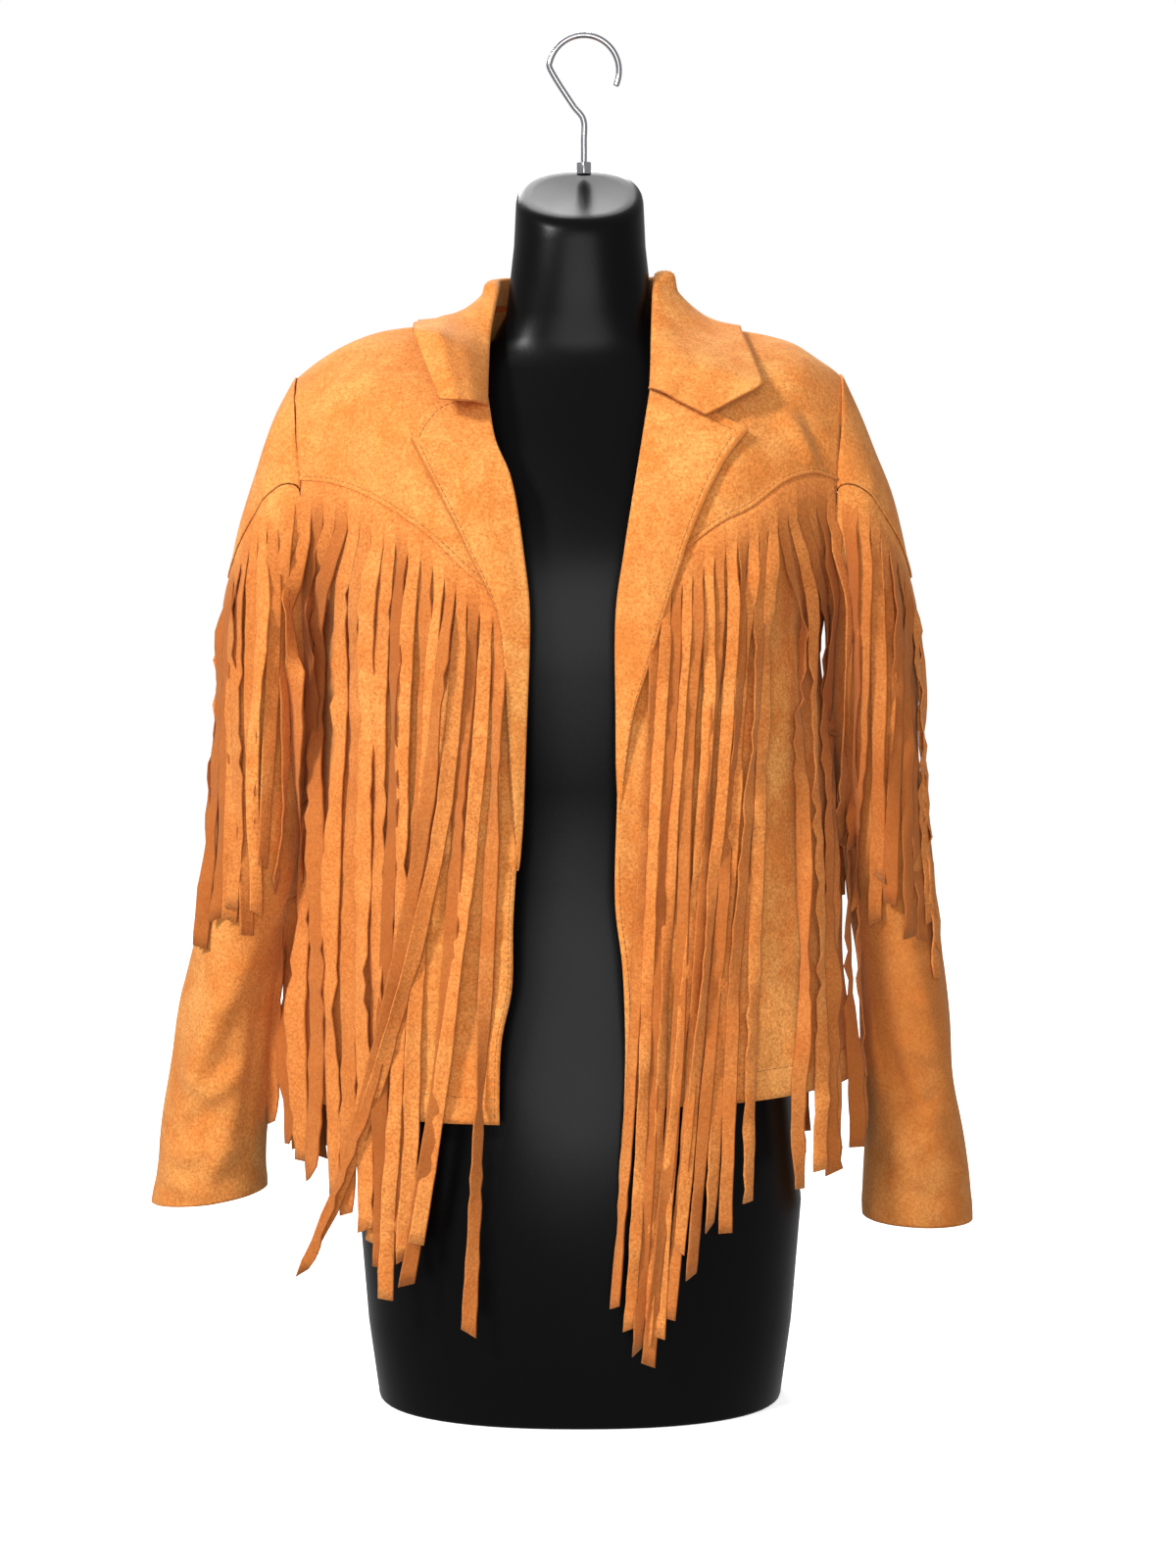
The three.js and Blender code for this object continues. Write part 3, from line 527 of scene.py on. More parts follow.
def grid_mesh(across, down, place, shade=None, turned=False):
    """A grid of across by down faces; place(u, v) gives points in millimetres."""
    bm = bmesh.new()
    uv_layer = bm.loops.layers.uv.new("cloth")
    bmesh.ops.create_grid(bm, x_segments=across, y_segments=down, size=0.5, calc_uvs=False)
    flat = np.array([vert.co[:2] for vert in bm.verts]) + 0.5
    points = place(flat[:, 0], flat[:, 1]) * MM
    tone = bm.verts.layers.float.new(SHADE)
    tones = shade(flat[:, 0], flat[:, 1]) if shade else np.zeros(len(flat))
    for vert, spot, co, value in zip(bm.verts, flat, points, tones):
        for loop in vert.link_loops:
            loop[uv_layer].uv = spot
        vert.co = co
        vert[tone] = value
    if turned:
        bmesh.ops.reverse_faces(bm, faces=bm.faces)
    return bm


def finish_mesh(name, bm, material, wall=CLOTH):
    data = bpy.data.meshes.new(name)
    bm.to_mesh(data)
    bm.free()
    piece = add_object(name, data, material)
    if wall:
        solid = piece.modifiers.new("wall", "SOLIDIFY")
        solid.thickness = wall * MM
        solid.offset = -1
        solid.use_even_offset = False
    return piece


def area_of(piece):
    """The area of a sheet's face, in square metres."""
    return sum(polygon.area for polygon in piece.data.polygons)


def round_edges(piece, name, width, segments, angle):
    """Rounds the edges where two faces meet at more than an angle."""
    rounding = piece.modifiers.new(name, "BEVEL")
    rounding.width = width * MM
    rounding.segments = segments
    rounding.limit_method = "ANGLE"
    rounding.angle_limit = math.radians(angle)


# %% [markdown]
# The panels come next. A sewn panel lies on the body, is turned up at the hem, and ends in a
# small lip where it is stitched down over the next. Hem and lip could be pieces of their own, but
# they are the same cloth, so they are steps in the height of the one sheet. The cloth under the
# lapels and the fringe is in shadow, so it needs no detail of its own.

# %% Fronts, yokes and back
# width and height of a panel, near enough to keep gaps and hems the same size on each
PANEL_SIZES = {"front": (215, 370), "yoke": (175, 190), "back": (480, 390), "back_yoke": (400, 190)}
GAP = 0.25                         # left free at every seam, so that pieces touch but don't cross
HEM_BAND, HEM_HEIGHT, HEM_SOFT = 19.0, 0.9, 2.0
LIP_BAND, LIP_HEIGHT, LIP_SOFT = 2.5, 2.0, 1.2
RELIEF_MARGIN = 12                 # creases fade over this distance towards a seam


def band(distance, width, height, soft):
    """A step of a given height up to a width from an edge."""
    return height / (1 + np.exp((distance - width) / soft * 2))


def panel(name, surface, facing, across, down, size, hem=0.0, lip=0.0, turned=False):
    width, height = size

    def place(u, v):
        u = GAP / width + u * (1 - 2 * GAP / width)
        v = GAP / height + v * (1 - 2 * GAP / height)
        points = surface(u, v)
        out = normals_of(surface, u, v, facing)
        edge_fade = np.clip(np.minimum(v, 1 - v) * height / RELIEF_MARGIN, 0, 1)
        rise = relief(points) * edge_fade
        rise += band(v * height, HEM_BAND, hem, HEM_SOFT) + band(v * height, LIP_BAND, lip, LIP_SOFT)
        return points + out * rise[:, None]
    bm = grid_mesh(across, down, place, turned=turned)
    return finish_mesh(name, bm, SUEDE)


PANELS = {}
for side, sign in SIDES.items():
    PANELS[f"front_{side}"] = panel(f"front_{side}_cloth", FRONT[side], sign, 70, 110,
                                    PANEL_SIZES["front"], hem=HEM_HEIGHT, turned=sign < 0)
    PANELS[f"yoke_{side}"] = panel(f"yoke_{side}_cloth", YOKE[side], sign, 70, 70,
                                   PANEL_SIZES["yoke"], lip=LIP_HEIGHT, turned=sign < 0)
PANELS["back"] = panel("back_cloth", BACK, -1, 140, 110, PANEL_SIZES["back"], hem=HEM_HEIGHT, turned=True)
PANELS["back_yoke"] = panel("back_yoke_cloth", BACK_YOKE, -1, 140, 70, PANEL_SIZES["back_yoke"],
                            lip=LIP_HEIGHT, turned=True)
for node, piece in PANELS.items():
    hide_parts(node)
    print(piece.name, len(piece.data.polygons), "faces", round(area_of(piece), 4), "m2")

# %% [markdown]
# A set-in sleeve starts at the armhole, which stands upright, and ends at a level cuff. A plain
# tube would pinch at the armpit, so the sleeve is a stack of rings that turn about it. Each row
# gives a ring's outer and inner point as seen from the front, the middle of its depth and half
# its depth. A seam runs round the arm from the armhole: above it lies the sleeve head, below it
# the sleeve.

# %% Sleeve rings
SLEEVE_ROWS = {
    "left": [[207.5, 755, 190.5, 590, 0, 62], [224, 722, 192, 587, 1, 63], [241, 670, 194, 582, 2, 64],
             [256, 613, 195, 570, 4, 64], [261, 560, 196, 540, 6, 62], [266, 480, 200, 478, 9, 58],
             [272, 410, 208, 408, 12, 55], [285, 345, 218, 343, 14, 52], [299, 275, 229, 273, 15, 49],
             [311, 205, 236, 207, 15, 46], [321, 143, 238, 153, 15, 44]],
    "right": [[190.5, 755, 176.5, 590, 0, 62], [207, 722, 179, 587, 1, 63], [226, 670, 181, 582, 2, 64],
              [241, 613, 182, 570, 5, 64], [247, 560, 183, 540, 9, 62], [252, 480, 190, 478, 14, 57],
              [259, 410, 198, 408, 18, 53], [268, 345, 206, 343, 22, 50], [276, 275, 212, 273, 24, 47],
              [287, 203, 216, 203, 24, 44], [296, 128, 217, 130, 24, 42]],
}
LAST_ROW = 10.0
CAP_TUCK = 0.16                    # rows of the sleeve head that go in under the yoke's edge
SLEEVE_SEAM_DROP = 3.1             # rows from the armhole to the seam at the outside of the arm
CAP_END = 0.045                    # and at the front and back of the armhole


def between_rows(p0, p1, p2, p3, t):
    """The point a share t of the way from p1 to p2, on a smooth curve through all four."""
    return 0.5 * (2 * p1 + (p2 - p0) * t + (2 * p0 - 5 * p1 + 4 * p2 - p3) * t ** 2
                  + (3 * p1 - p0 - 3 * p2 + p3) * t ** 3)


def sleeve_points(side, turn, row, out=0.0):
    """Points of a sleeve at a turn, as for the armhole, and a row counted down the table."""
    rows = np.array(SLEEVE_ROWS[side], float)
    turn, row = np.asarray(turn, float), np.clip(np.asarray(row, float), -CAP_TUCK, LAST_ROW)
    k = np.clip(np.floor(row).astype(int), 0, len(rows) - 2)
    t = (row - k)[..., None]
    p0, p1, p2, p3 = (rows[np.clip(k + n, 0, len(rows) - 1)] for n in (-1, 0, 1, 2))
    ring = between_rows(p0, p1, p2, p3, t)
    half_x, half_z = (ring[..., 0] - ring[..., 2]) / 2, (ring[..., 1] - ring[..., 3]) / 2
    grow = 1 + out / np.hypot(half_x, half_z)
    angle = turn * 2 * math.pi
    x = (ring[..., 0] + ring[..., 2]) / 2 + half_x * grow * np.sin(angle)
    z = (ring[..., 1] + ring[..., 3]) / 2 + half_z * grow * np.sin(angle)
    return np.stack([SIDES[side] * x, ring[..., 4] - (ring[..., 5] + out) * np.cos(angle), z], axis=-1)


def sleeve_seam(turn):
    drop = SLEEVE_SEAM_DROP * np.maximum(0, np.sin(np.asarray(turn, float) * 2 * math.pi)) ** 0.9
    return np.maximum(CAP_END, drop)


print("sleeve length", round(float(np.linalg.norm(sleeve_points("left", 0.25, LAST_ROW)
                                                  - sleeve_points("left", 0.25, 0.0)))), "mm")

# %% Sleeve heads and sleeves
SLEEVE_PAINTED_SHADE = {"left": 0.15, "right": 0.55}      # painted shade over each sleeve; the right one, turned from the key lamp, gets most
SEAM_ROW = 0.012                   # rows left free on each side of the seam
CUFF_ROW, CUFF_HEIGHT, CUFF_SOFT = 9.72, 0.8, 0.03
CAP_LIP, CAP_DEPTH = 1.6, 1.0      # how far the head stands out at its seam and is tucked in above


def sleeve_rise(side, turn, row):
    """The relief of a sleeve, and its turned-up cuff, which is thicker."""
    plain = sleeve_points(side, turn, row)
    cuff = CUFF_HEIGHT / (1 + np.exp((CUFF_ROW - row) / CUFF_SOFT))
    return relief(plain) + cuff


def cap_place(side):
    def place(u, v):
        turn = u * 0.5
        row = (1 - v) * (sleeve_seam(turn) - SEAM_ROW + CAP_TUCK) - CAP_TUCK
        lip = CAP_LIP * np.exp(-(v * 30) ** 2) * np.clip(np.sin(u * math.pi) * 3, 0, 1)
        tuck = CAP_DEPTH * np.clip(-row / CAP_TUCK + 0.35, 0, 1)
        return sleeve_points(side, turn, row, sleeve_rise(side, turn, row) + lip - tuck)
    return place


def tube_place(side):
    def place(turn, v):
        wrapped = np.where(turn > 1 - 1e-6, 0.0, turn)
        start = np.where(wrapped <= 0.5, sleeve_seam(wrapped) + SEAM_ROW, 0.0)
        row = start + (1 - v) * (LAST_ROW - start)
        return sleeve_points(side, turn, row, sleeve_rise(side, turn, row))
    return place


for side, sign in SIDES.items():
    head = finish_mesh(f"sleeve_head_{side}", grid_mesh(60, 24, cap_place(side), turned=sign > 0), SUEDE)
    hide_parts(f"sleeve_cap_{side}")
    # painted shade over the sleeve below its top, standing in for the shade of a sleeve turned from the key
    # lamp
    painted_sleeve_shade = SLEEVE_PAINTED_SHADE[side]
    tube = grid_mesh(120, 150, tube_place(side), lambda u, v: painted_sleeve_shade * smooth((1 - v) * 2.2),
                     turned=sign > 0)
    bmesh.ops.remove_doubles(tube, verts=tube.verts, dist=JOIN)
    sleeve = finish_mesh(f"sleeve_tube_{side}", tube, SUEDE)
    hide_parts(f"sleeve_{side}")
    PANELS[f"sleeve_cap_{side}"], PANELS[f"sleeve_{side}"] = head, sleeve
    print("sleeve", side, round(area_of(sleeve) + area_of(head), 4), "m2")

# %% [markdown]
# Lapels, collar and fringe lie on the panels and have to follow them. They could be dropped onto
# them by a simulation, but a height map is quicker and gives the same result each time. It is a
# cloud of points of the panels, in which the nearest ones to a place tell how far out the cloth
# lies there and which way it faces.

# %% Height maps
def samples_of(surfaces, facing, across=160, down=220):
    """Points and outward directions of surfaces, sampled evenly."""
    u, v = (g.ravel() for g in np.meshgrid(np.linspace(0, 1, across), np.linspace(0, 1, down)))
    return (np.vstack([surface(u, v) for surface in surfaces]),
            np.vstack([normals_of(surface, u, v, facing) for surface in surfaces]))


def sleeve_samples(side, start, end):
    """The same for the part of a sleeve between two turns."""
    turn, row = (g.ravel() for g in np.meshgrid(np.linspace(start, end, 60), np.linspace(0, LAST_ROW, 200)))
    places = sleeve_points(side, turn, row)
    outs = sleeve_points(side, turn, row, 1.0) - places
    return places, outs / np.linalg.norm(outs, axis=1, keepdims=True)


NEIGHBOURS = 4                     # points that a place in a height map is averaged from


def lookup(places, outs):
    """Finds the depth and the outward direction of a surface at a place seen from the front."""
    tree = kdtree.KDTree(len(places))
    for index, point in enumerate(places):
        tree.insert((point[0], 0, point[2]), index)
    tree.balance()

    def at(x, z):
        depth, out, far = np.zeros(len(x)), np.zeros((len(x), 3)), np.zeros(len(x))
        for k, (px, pz) in enumerate(zip(x, z)):
            found = tree.find_n((px, 0, pz), NEIGHBOURS)
            weights = np.array([1 / (1e-6 + hit[2]) for hit in found])
            weights /= weights.sum()
            depth[k] = sum(w * places[hit[1]][1] for w, hit in zip(weights, found))
            out[k] = sum(w * outs[hit[1]] for w, hit in zip(weights, found))
            far[k] = found[0][2]
        out /= np.linalg.norm(out, axis=1, keepdims=True)
        return np.stack([x, depth, z], axis=-1), out, far
    return at


NEAR_CLOTH = 9                     # another cloth counts only this near to its points


def outermost(first, others, toward):
    """Joins height maps: of the cloths at a place, the one that lies furthest out carries."""
    def at(x, z):
        points, out, _ = first(x, z)
        for other in others:
            more, more_out, far = other(x, z)
            over = (far < NEAR_CLOTH) & ((more[:, 1] - points[:, 1]) * toward > 0)
            points[over], out[over] = more[over], more_out[over]
        return points, out
    return at


FRONT_MAP = {side: lookup(*samples_of((FRONT[side], YOKE[side]), SIDES[side])) for side in SIDES}
SLEEVE_MAP = {(side, half): lookup(*sleeve_samples(side, *ends)) for side in SIDES
              for half, ends in (("front", (-0.25, 0.25)), ("back", (0.25, 0.75)))}
OVER_FRONT = {side: outermost(FRONT_MAP[side], (SLEEVE_MAP[side, "front"],), -1) for side in SIDES}
BACK_MAP = lookup(*samples_of((BACK, BACK_YOKE), -1))
OVER_BACK = outermost(BACK_MAP, [SLEEVE_MAP[side, "back"] for side in SIDES], 1)
print("height maps", len(FRONT_MAP) + len(SLEEVE_MAP) + 1)

# %% [markdown]
# A notched lapel is the front folded back on itself, sewn from two layers, so it is thicker than
# a panel and its edges are round. It could be one grid with the front, but a grid bent back so
# tightly would need its rows far closer at the fold than elsewhere. So it is a sheet of its own
# that starts under its fold, rolls over in a small arc and then lies on the chest, a little
# higher towards its outer edge.

# %% Lapels
LAPELS = {
    # Rows of [distance from the middle, height], from the break of the lapel up.
    "left": {
        "fold": [[42.5, 405], [39, 495], [36.3, 586], [39.2, 617], [49.2, 678], [60.2, 704], [66.5, 736]],
        "edge": [[43.5, 405], [49, 494], [52, 544], [57, 584], [76, 625], [100, 672], [116, 702]],
        "gorge": [[66.5, 736], [84, 735], [97, 731.5], [109, 719], [116, 702]],
    },
    "right": {
        "fold": [[27.6, 448], [27.3, 510], [27.3, 586], [33.2, 629], [40.2, 673], [46.2, 709], [52, 743]],
        "edge": [[28.6, 448], [37.6, 515], [47, 545], [66, 607], [81, 650], [100, 688], [116, 709.5]],
        "gorge": [[52, 743], [70, 736], [87, 726], [102, 717], [116, 709.5]],
    },
}
ROLL_RADIUS = 2.2
ROLL_SHARE = 0.16                  # of the sheet's width that lies in the roll
UNDER_FOLD = 1.0                   # it starts this far under the front's face
LAPEL_LIFT = 6.8                   # how far its outer third stands off the chest
LAPEL_WAVE = 0.9
LAPEL_SUNK = 1.2                   # its lower end goes this far into the front
TWO_LAYERS = 2.2                   # thickness of lapels and collar
RIM_PAINTED_SHADE = 0.75                    # painted shade along their outer edges, a dark line where the rolled edge meets the cloth under it


def flat_curve(side, rows):
    return through([[SIDES[side] * x, 0, z] for x, z in rows])


def lapel_place(side):
    rows = LAPELS[side]
    outline = patch(flat_curve(side, [rows["fold"][0], rows["edge"][0]]), flat_curve(side, rows["gorge"]),
                    flat_curve(side, rows["fold"]), flat_curve(side, rows["edge"]))

    def place(u, v):
        over = np.clip((u - ROLL_SHARE) / (1 - ROLL_SHARE), 0, 1)
        spot = outline(over, v)
        base, out, _ = FRONT_MAP[side](spot[:, 0], spot[:, 2])
        turn = np.clip(1 - u / ROLL_SHARE, 0, 1) * math.pi
        lift = ROLL_RADIUS * (1 + np.cos(turn)) - UNDER_FOLD
        rise = np.sin(np.clip(over * 1.5, 0, 1) * math.pi / 2)
        lift += (LAPEL_LIFT - 2 * ROLL_RADIUS + UNDER_FOLD) * rise * np.clip(v * 4, 0.3, 1)
        lift += LAPEL_WAVE * np.sin(over * 5 + v * 9) * over * np.clip(v * 2, 0, 1)
        end = np.clip(v * 9, 0, 1) ** 0.5
        points = base + out * (lift * end - LAPEL_SUNK * (1 - end))[:, None]
        points[:, 0] -= SIDES[side] * ROLL_RADIUS * np.sin(turn) * end
        return points
    return place


def painted_rim_shade(share, start, soft):
    """Paints shade on the last strip before an outer edge, as the dark line along a rolled edge."""
    return RIM_PAINTED_SHADE * smooth((share - start) / soft)


def two_layers(name, bm):
    piece = finish_mesh(name, bm, SUEDE, wall=TWO_LAYERS)
    round_edges(piece, "round_edge", TWO_LAYERS * 0.4, 2, 60)
    return piece


for side, sign in SIDES.items():
    # the lapel's outer edge gets a strip of painted shade
    bm = grid_mesh(44, 120, lapel_place(side), lambda u, v: painted_rim_shade(u, 0.955, 0.03), turned=sign < 0)
    lapel = two_layers(f"lapel_{side}_cloth", bm)
    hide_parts(f"lapel_{side}")
    PANELS[f"lapel_{side}"] = lapel
    print("lapel", side, round(area_of(lapel), 4), "m2")

# %% [markdown]
# The collar is one leaf that stands up from the neck seam, folds over and lies down to its outer
# edge, with a corner at each notch. A flat strip bent round the neck would be too short at its
# outer edge. So three lines give its shape, the foot, the fold and the edge, and the leaf runs
# from one to the next. It is kept clear of the yokes, and smoothed, because thick cloth does not
# crease sharply.

# %% Collar
COLLAR_FOOT = [[-66, -86, 728], [-69, -58, 757], [-69, -30, 784], [-65, 0, 805], [-57, 28, 809],
               [-36, 50, 812], [0, 59, 813], [36, 50, 812], [57, 28, 809], [65, 0, 805],
               [63, -30, 786], [57, -58, 764], [50, -84, 740]]
COLLAR_FOLD = [[-66, -92, 729], [-66, -68, 757], [-65, -40, 787], [-60, -6, 819], [-59, 22, 828],
               [-40, 49, 832], [0, 63, 834], [40, 49, 832], [56, 22, 830], [55, -6, 828],
               [53, -40, 790], [52, -66, 764], [51, -90, 740]]
COLLAR_EDGE = [[-97, -101, 731], [-119, -66, 783], [-120, -20, 792], [-115, 14, 790], [-100, 52, 778],
               [-66, 88, 762], [0, 100, 757], [66, 88, 762], [100, 52, 778], [115, 12, 786],
               [120, -30, 779], [130, -88, 742], [88, -104, 720]]
COLLAR_CORNERS = (1, 11)           # the rows at which the edge turns sharply
FOLD_SHARE = 0.30                  # of the collar's depth that stands


def even_curve(rows, corners=()):
    """A curve whose rows lie at even shares, so that lines with the same rows pair up. It turns
    sharply at the rows that are named as corners."""
    points = np.array(rows, float)

    def at(share):
        share = np.clip(np.asarray(share, float), 0, 1)
        k = np.clip((share * (len(points) - 1)).astype(int), 0, len(points) - 2)
        t = (share * (len(points) - 1) - k)[..., None]
        p0, p1, p2, p3 = (points[np.clip(k + n, 0, len(points) - 1)] for n in (-1, 0, 1, 2))
        p0 = np.where(np.isin(k, corners)[:, None], 2 * p1 - p2, p0)
        p3 = np.where(np.isin(k + 1, corners)[:, None], 2 * p2 - p1, p3)
        return between_rows(p0, p1, p2, p3, t)
    return at


print("collar rows", len(COLLAR_FOOT))

# %% The collar kept off the shoulders
COLLAR_CLEAR = 3.4
COLLAR_REACH = 45                  # points further than this from the shoulders are left alone


def kept_off(points, places, outs):
    """Lifts points that lie under or too close to a surface until they are clear of it."""
    tree = kdtree.KDTree(len(places))
    for index, place in enumerate(places):
        tree.insert(place, index)
    tree.balance()
    lifted = points.copy()
    for k, point in enumerate(points):
        _, index, far = tree.find(point)
        gap = (point - places[index]) @ outs[index]
        if gap < COLLAR_CLEAR and far < COLLAR_REACH:
            lifted[k] = point + outs[index] * (COLLAR_CLEAR - gap)
    return lifted


YOKES = [samples_of((YOKE[side],), SIDES[side], 120, 120) for side in SIDES]
YOKES.append(samples_of((BACK_YOKE,), -1, 240, 100))
SHOULDERS = [np.vstack(part) for part in zip(*YOKES)]
print("shoulder points", len(SHOULDERS[0]))

# %% The collar's leaf
ROLL_RISE = 0.8                    # just past the fold the leaf swells up this much
SAG, SWELL = 0.05, 0.07            # of the leaf's depth: it sags behind and swells in front
CREST = 8.0                        # how far the ridge down the left end stands forward
CREST_AT = 0.62                    # and where it lies, from the fold to the edge
CREASE_DEPTH = 2.4                 # of the slanting crease in the right end
FRONT_LIFT = 6.0                   # how far both ends stand off the chest
EDGE_WAVE = 1.1
SMOOTHINGS = 8


def collar_place():
    foot, fold = even_curve(COLLAR_FOOT), even_curve(COLLAR_FOLD)
    edge = even_curve(COLLAR_EDGE, COLLAR_CORNERS)

    def place(u, v):
        a, b, c = foot(u), fold(u), edge(u)
        up = np.sin(np.clip(v / FOLD_SHARE, 0, 1) * math.pi / 2)[:, None]
        t = np.clip((v - FOLD_SHARE) / (1 - FOLD_SHARE), 0, 1)
        points = np.where((v <= FOLD_SHARE)[:, None], a + (b - a) * up, b + (c - b) * t[:, None])
        reach = np.linalg.norm(c - b, axis=1)
        front = smooth((np.abs(2 * u - 1) - 0.62) / 0.2)
        roll = np.sin(math.pi * np.clip(t * 2.5, 0, 1)) * ROLL_RISE
        sag = np.sin(math.pi * t) * SAG * reach * (1 - front)
        points[:, 2] += roll - sag
        points[:, 1] -= np.sin(math.pi * np.sqrt(t)) * SWELL * reach * front
        crest = np.where(t < CREST_AT, t / CREST_AT, (1 - t) / (1 - CREST_AT)) ** 1.3
        crest *= smooth((0.27 - u) / 0.1)
        points[:, 1] -= CREST * crest
        points[:, 2] += 0.6 * CREST * crest * smooth(u / 0.08)
        crease = np.exp(-((t - 0.3 - 0.9 * (u - 0.86)) / 0.07) ** 2) * smooth((u - 0.8) / 0.05)
        points[:, 1] += CREASE_DEPTH * crease
        leaf = (v > FOLD_SHARE) & (front < 1)
        raised = kept_off(points[leaf], *SHOULDERS)
        points[leaf] += (raised - points[leaf]) * (1 - front[leaf, None])
        points[:, 1] -= FRONT_LIFT * front * smooth(t * 3)
        points[:, 2] += EDGE_WAVE * np.sin(u * 40) * t * (1 - np.abs(2 * u - 1))
        return points
    return place


# the collar's outer edge gets a strip of painted shade
collar_grid = grid_mesh(240, 60, collar_place(), lambda u, v: painted_rim_shade(v, 0.965, 0.02), turned=True)
for _ in range(SMOOTHINGS):
    bmesh.ops.smooth_vert(collar_grid, verts=collar_grid.verts, factor=0.5, use_axis_x=True,
                          use_axis_y=True, use_axis_z=True)
collar = two_layers("collar_cloth", collar_grid)
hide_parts("collar")
PANELS["collar"] = collar
print("collar", round(area_of(collar), 4), "m2")

# %% [markdown]
# The fringe is one strip of suede, sewn into the yoke seam and slit into strands up to a band
# that stays whole. Hair curves could stand for strands, but these are wide, flat and turned, so
# each is a narrow grid. Its first rows share their edges with the next strand and are merged
# into the band. Below the band it curls at the slit, hangs free, drifts to where its tip lies,
# turns a little on itself and lies over its neighbours. Strands start at even steps along the
# seam; where the seam slants they overlap.

# %% Rows of a strand
BAND = 19.0                        # depth of the whole band under the seam
STEP = 10.0                        # from one row of a strand to the next
ACROSS = (0.0, 0.1, 0.9, 1.0)      # where the columns of a strand lie
COLUMNS = len(ACROSS) - 1
LAYERS = (5.0, 8.2, 6.6)           # how far strands stand off the cloth, in turn
BAND_LIFT = 3.3                    # and how far the lower end of the band does
STRAND_EDGE_PAINTED_SHADE = 0.7                    # painted shade on the cut edge that faces away from the key lamp
OUTER_FROM, OUTER_OVER = 105, 55   # from here out, strands drift sooner and curl less


def outer_share(start):
    return smooth((abs(start) - OUTER_FROM) / OUTER_OVER)


def strand_rows(length):
    free = np.linspace(BAND, length, max(6, int((length - BAND) / STEP)))
    return np.concatenate([[0, BAND * 0.35, BAND * 0.7], free])


def evened(values, reach=2):
    """A moving mean down the rows, so that a strand bridges steps in the cloth under it."""
    padded = np.concatenate([values[:1].repeat(reach, axis=0), values, values[-1:].repeat(reach, axis=0)])
    return sum(padded[k:k + len(values)] for k in range(2 * reach + 1)) / (2 * reach + 1)


print("rows of a long strand", len(strand_rows(570)))


# %% Shape of a strand
def strand_turn(rows, twist, outer, phase, rng):
    """How far each row is turned about the strand, in radians, and how it is crumpled."""
    below = rows - BAND
    curl = rng.choice((-1, 1, 1)) * rng.uniform(0.35, 1.05) * (1 - 0.8 * outer)
    turn = twist * smooth(below / 140) * np.sin(phase + rows / rng.uniform(60, 120))
    turn += curl * smooth(below / 16) * np.exp(-np.maximum(below, 0) / 42)
    turn += 0.18 * smooth(below / 25) * np.sin(phase * 2 + rows / 27)
    crumple = np.array([rng.uniform(-1, 1) for _ in rows])
    return turn + 0.2 * crumple * smooth(below / 40), crumple


def strand_points(hang, left, right, drift, length, width, twist, lift, rng):
    """Rows of COLUMNS + 1 points each, in millimetres, from the seam to the cut end."""
    rows = strand_rows(length)
    below = rows - BAND
    start = (left + right) / 2
    share = np.clip(below / (length - BAND), 0, 1)
    sway = rng.uniform(-1, 1) * 3.0 * np.sin(math.pi * share * rng.uniform(1.2, 2.6)) * smooth(share * 6)
    early = 0.7 * smooth(share * 6) + 0.3 * share
    outer = outer_share(start)
    path = outer * early + (1 - outer) * share ** (1 + abs(drift) / 110)
    center, out = hang(start, drift * path + sway, rows)
    center[:, 1] = np.where(rows > BAND, evened(center, 3)[:, 1], center[:, 1])
    edges = [hang(end, np.zeros(len(rows)), rows) for end in (left, right)]
    edge_points = [points + normal * (0.9 + 2.4 * smooth(rows / BAND))[:, None] for points, normal in edges]
    across = edge_points[1] - edge_points[0]
    across[:, 2] *= 1 - smooth(below / 30)
    across /= np.linalg.norm(across, axis=1, keepdims=True)
    phase = rng.uniform(0, 2 * math.pi)
    turn, crumple = strand_turn(rows, twist, outer, phase, rng)
    stand = lift + 0.5 * width * np.abs(np.sin(turn)) + 0.8 * np.sin(rows / 23 + phase)
    stand += 0.7 * np.roll(crumple, 1) * smooth(below / 60)
    stand = BAND_LIFT + (stand - BAND_LIFT) * smooth(below / 45)
    middle = center + out * stand[:, None]
    slit = 0.28 * np.exp(-((below - 12) / 15) ** 2) - 0.16 * outer * smooth(below / 20)
    wide = width * (1 + 0.05 * np.sin(rows / 17 + phase) - slit)
    side = across * np.cos(turn)[:, None] + out * np.sin(turn)[:, None]
    face = np.cross(side, np.array([0, 0, -1.0]))
    face /= np.linalg.norm(face, axis=1, keepdims=True)
    face *= np.sign((face * out).sum(axis=1, keepdims=True) * np.cos(turn)[:, None] + 1e-9)
    loose = smooth(below / 20)[:, None]
    cup = rng.uniform(-1.0, 1.6)
    slant = rng.uniform(-3.5, 3.5)
    grid = []
    for c in ACROSS:
        tied = edge_points[0] * (1 - c) + edge_points[1] * c
        free = middle + side * (wide * (c - 0.5))[:, None]
        free = free + face * (cup * (1 - (2 * c - 1) ** 2) * smooth(below / 60))[:, None]
        points = tied * (1 - loose) + free * loose
        points[-1, 2] += slant * (2 * c - 1)
        grid.append(points)
    return np.stack(grid, axis=1)


# %% Strands joined into a fringe
STRAND_WALL = 0.9
STRAND_JOIN = 0.00004              # points of neighbours this close are one, in metres


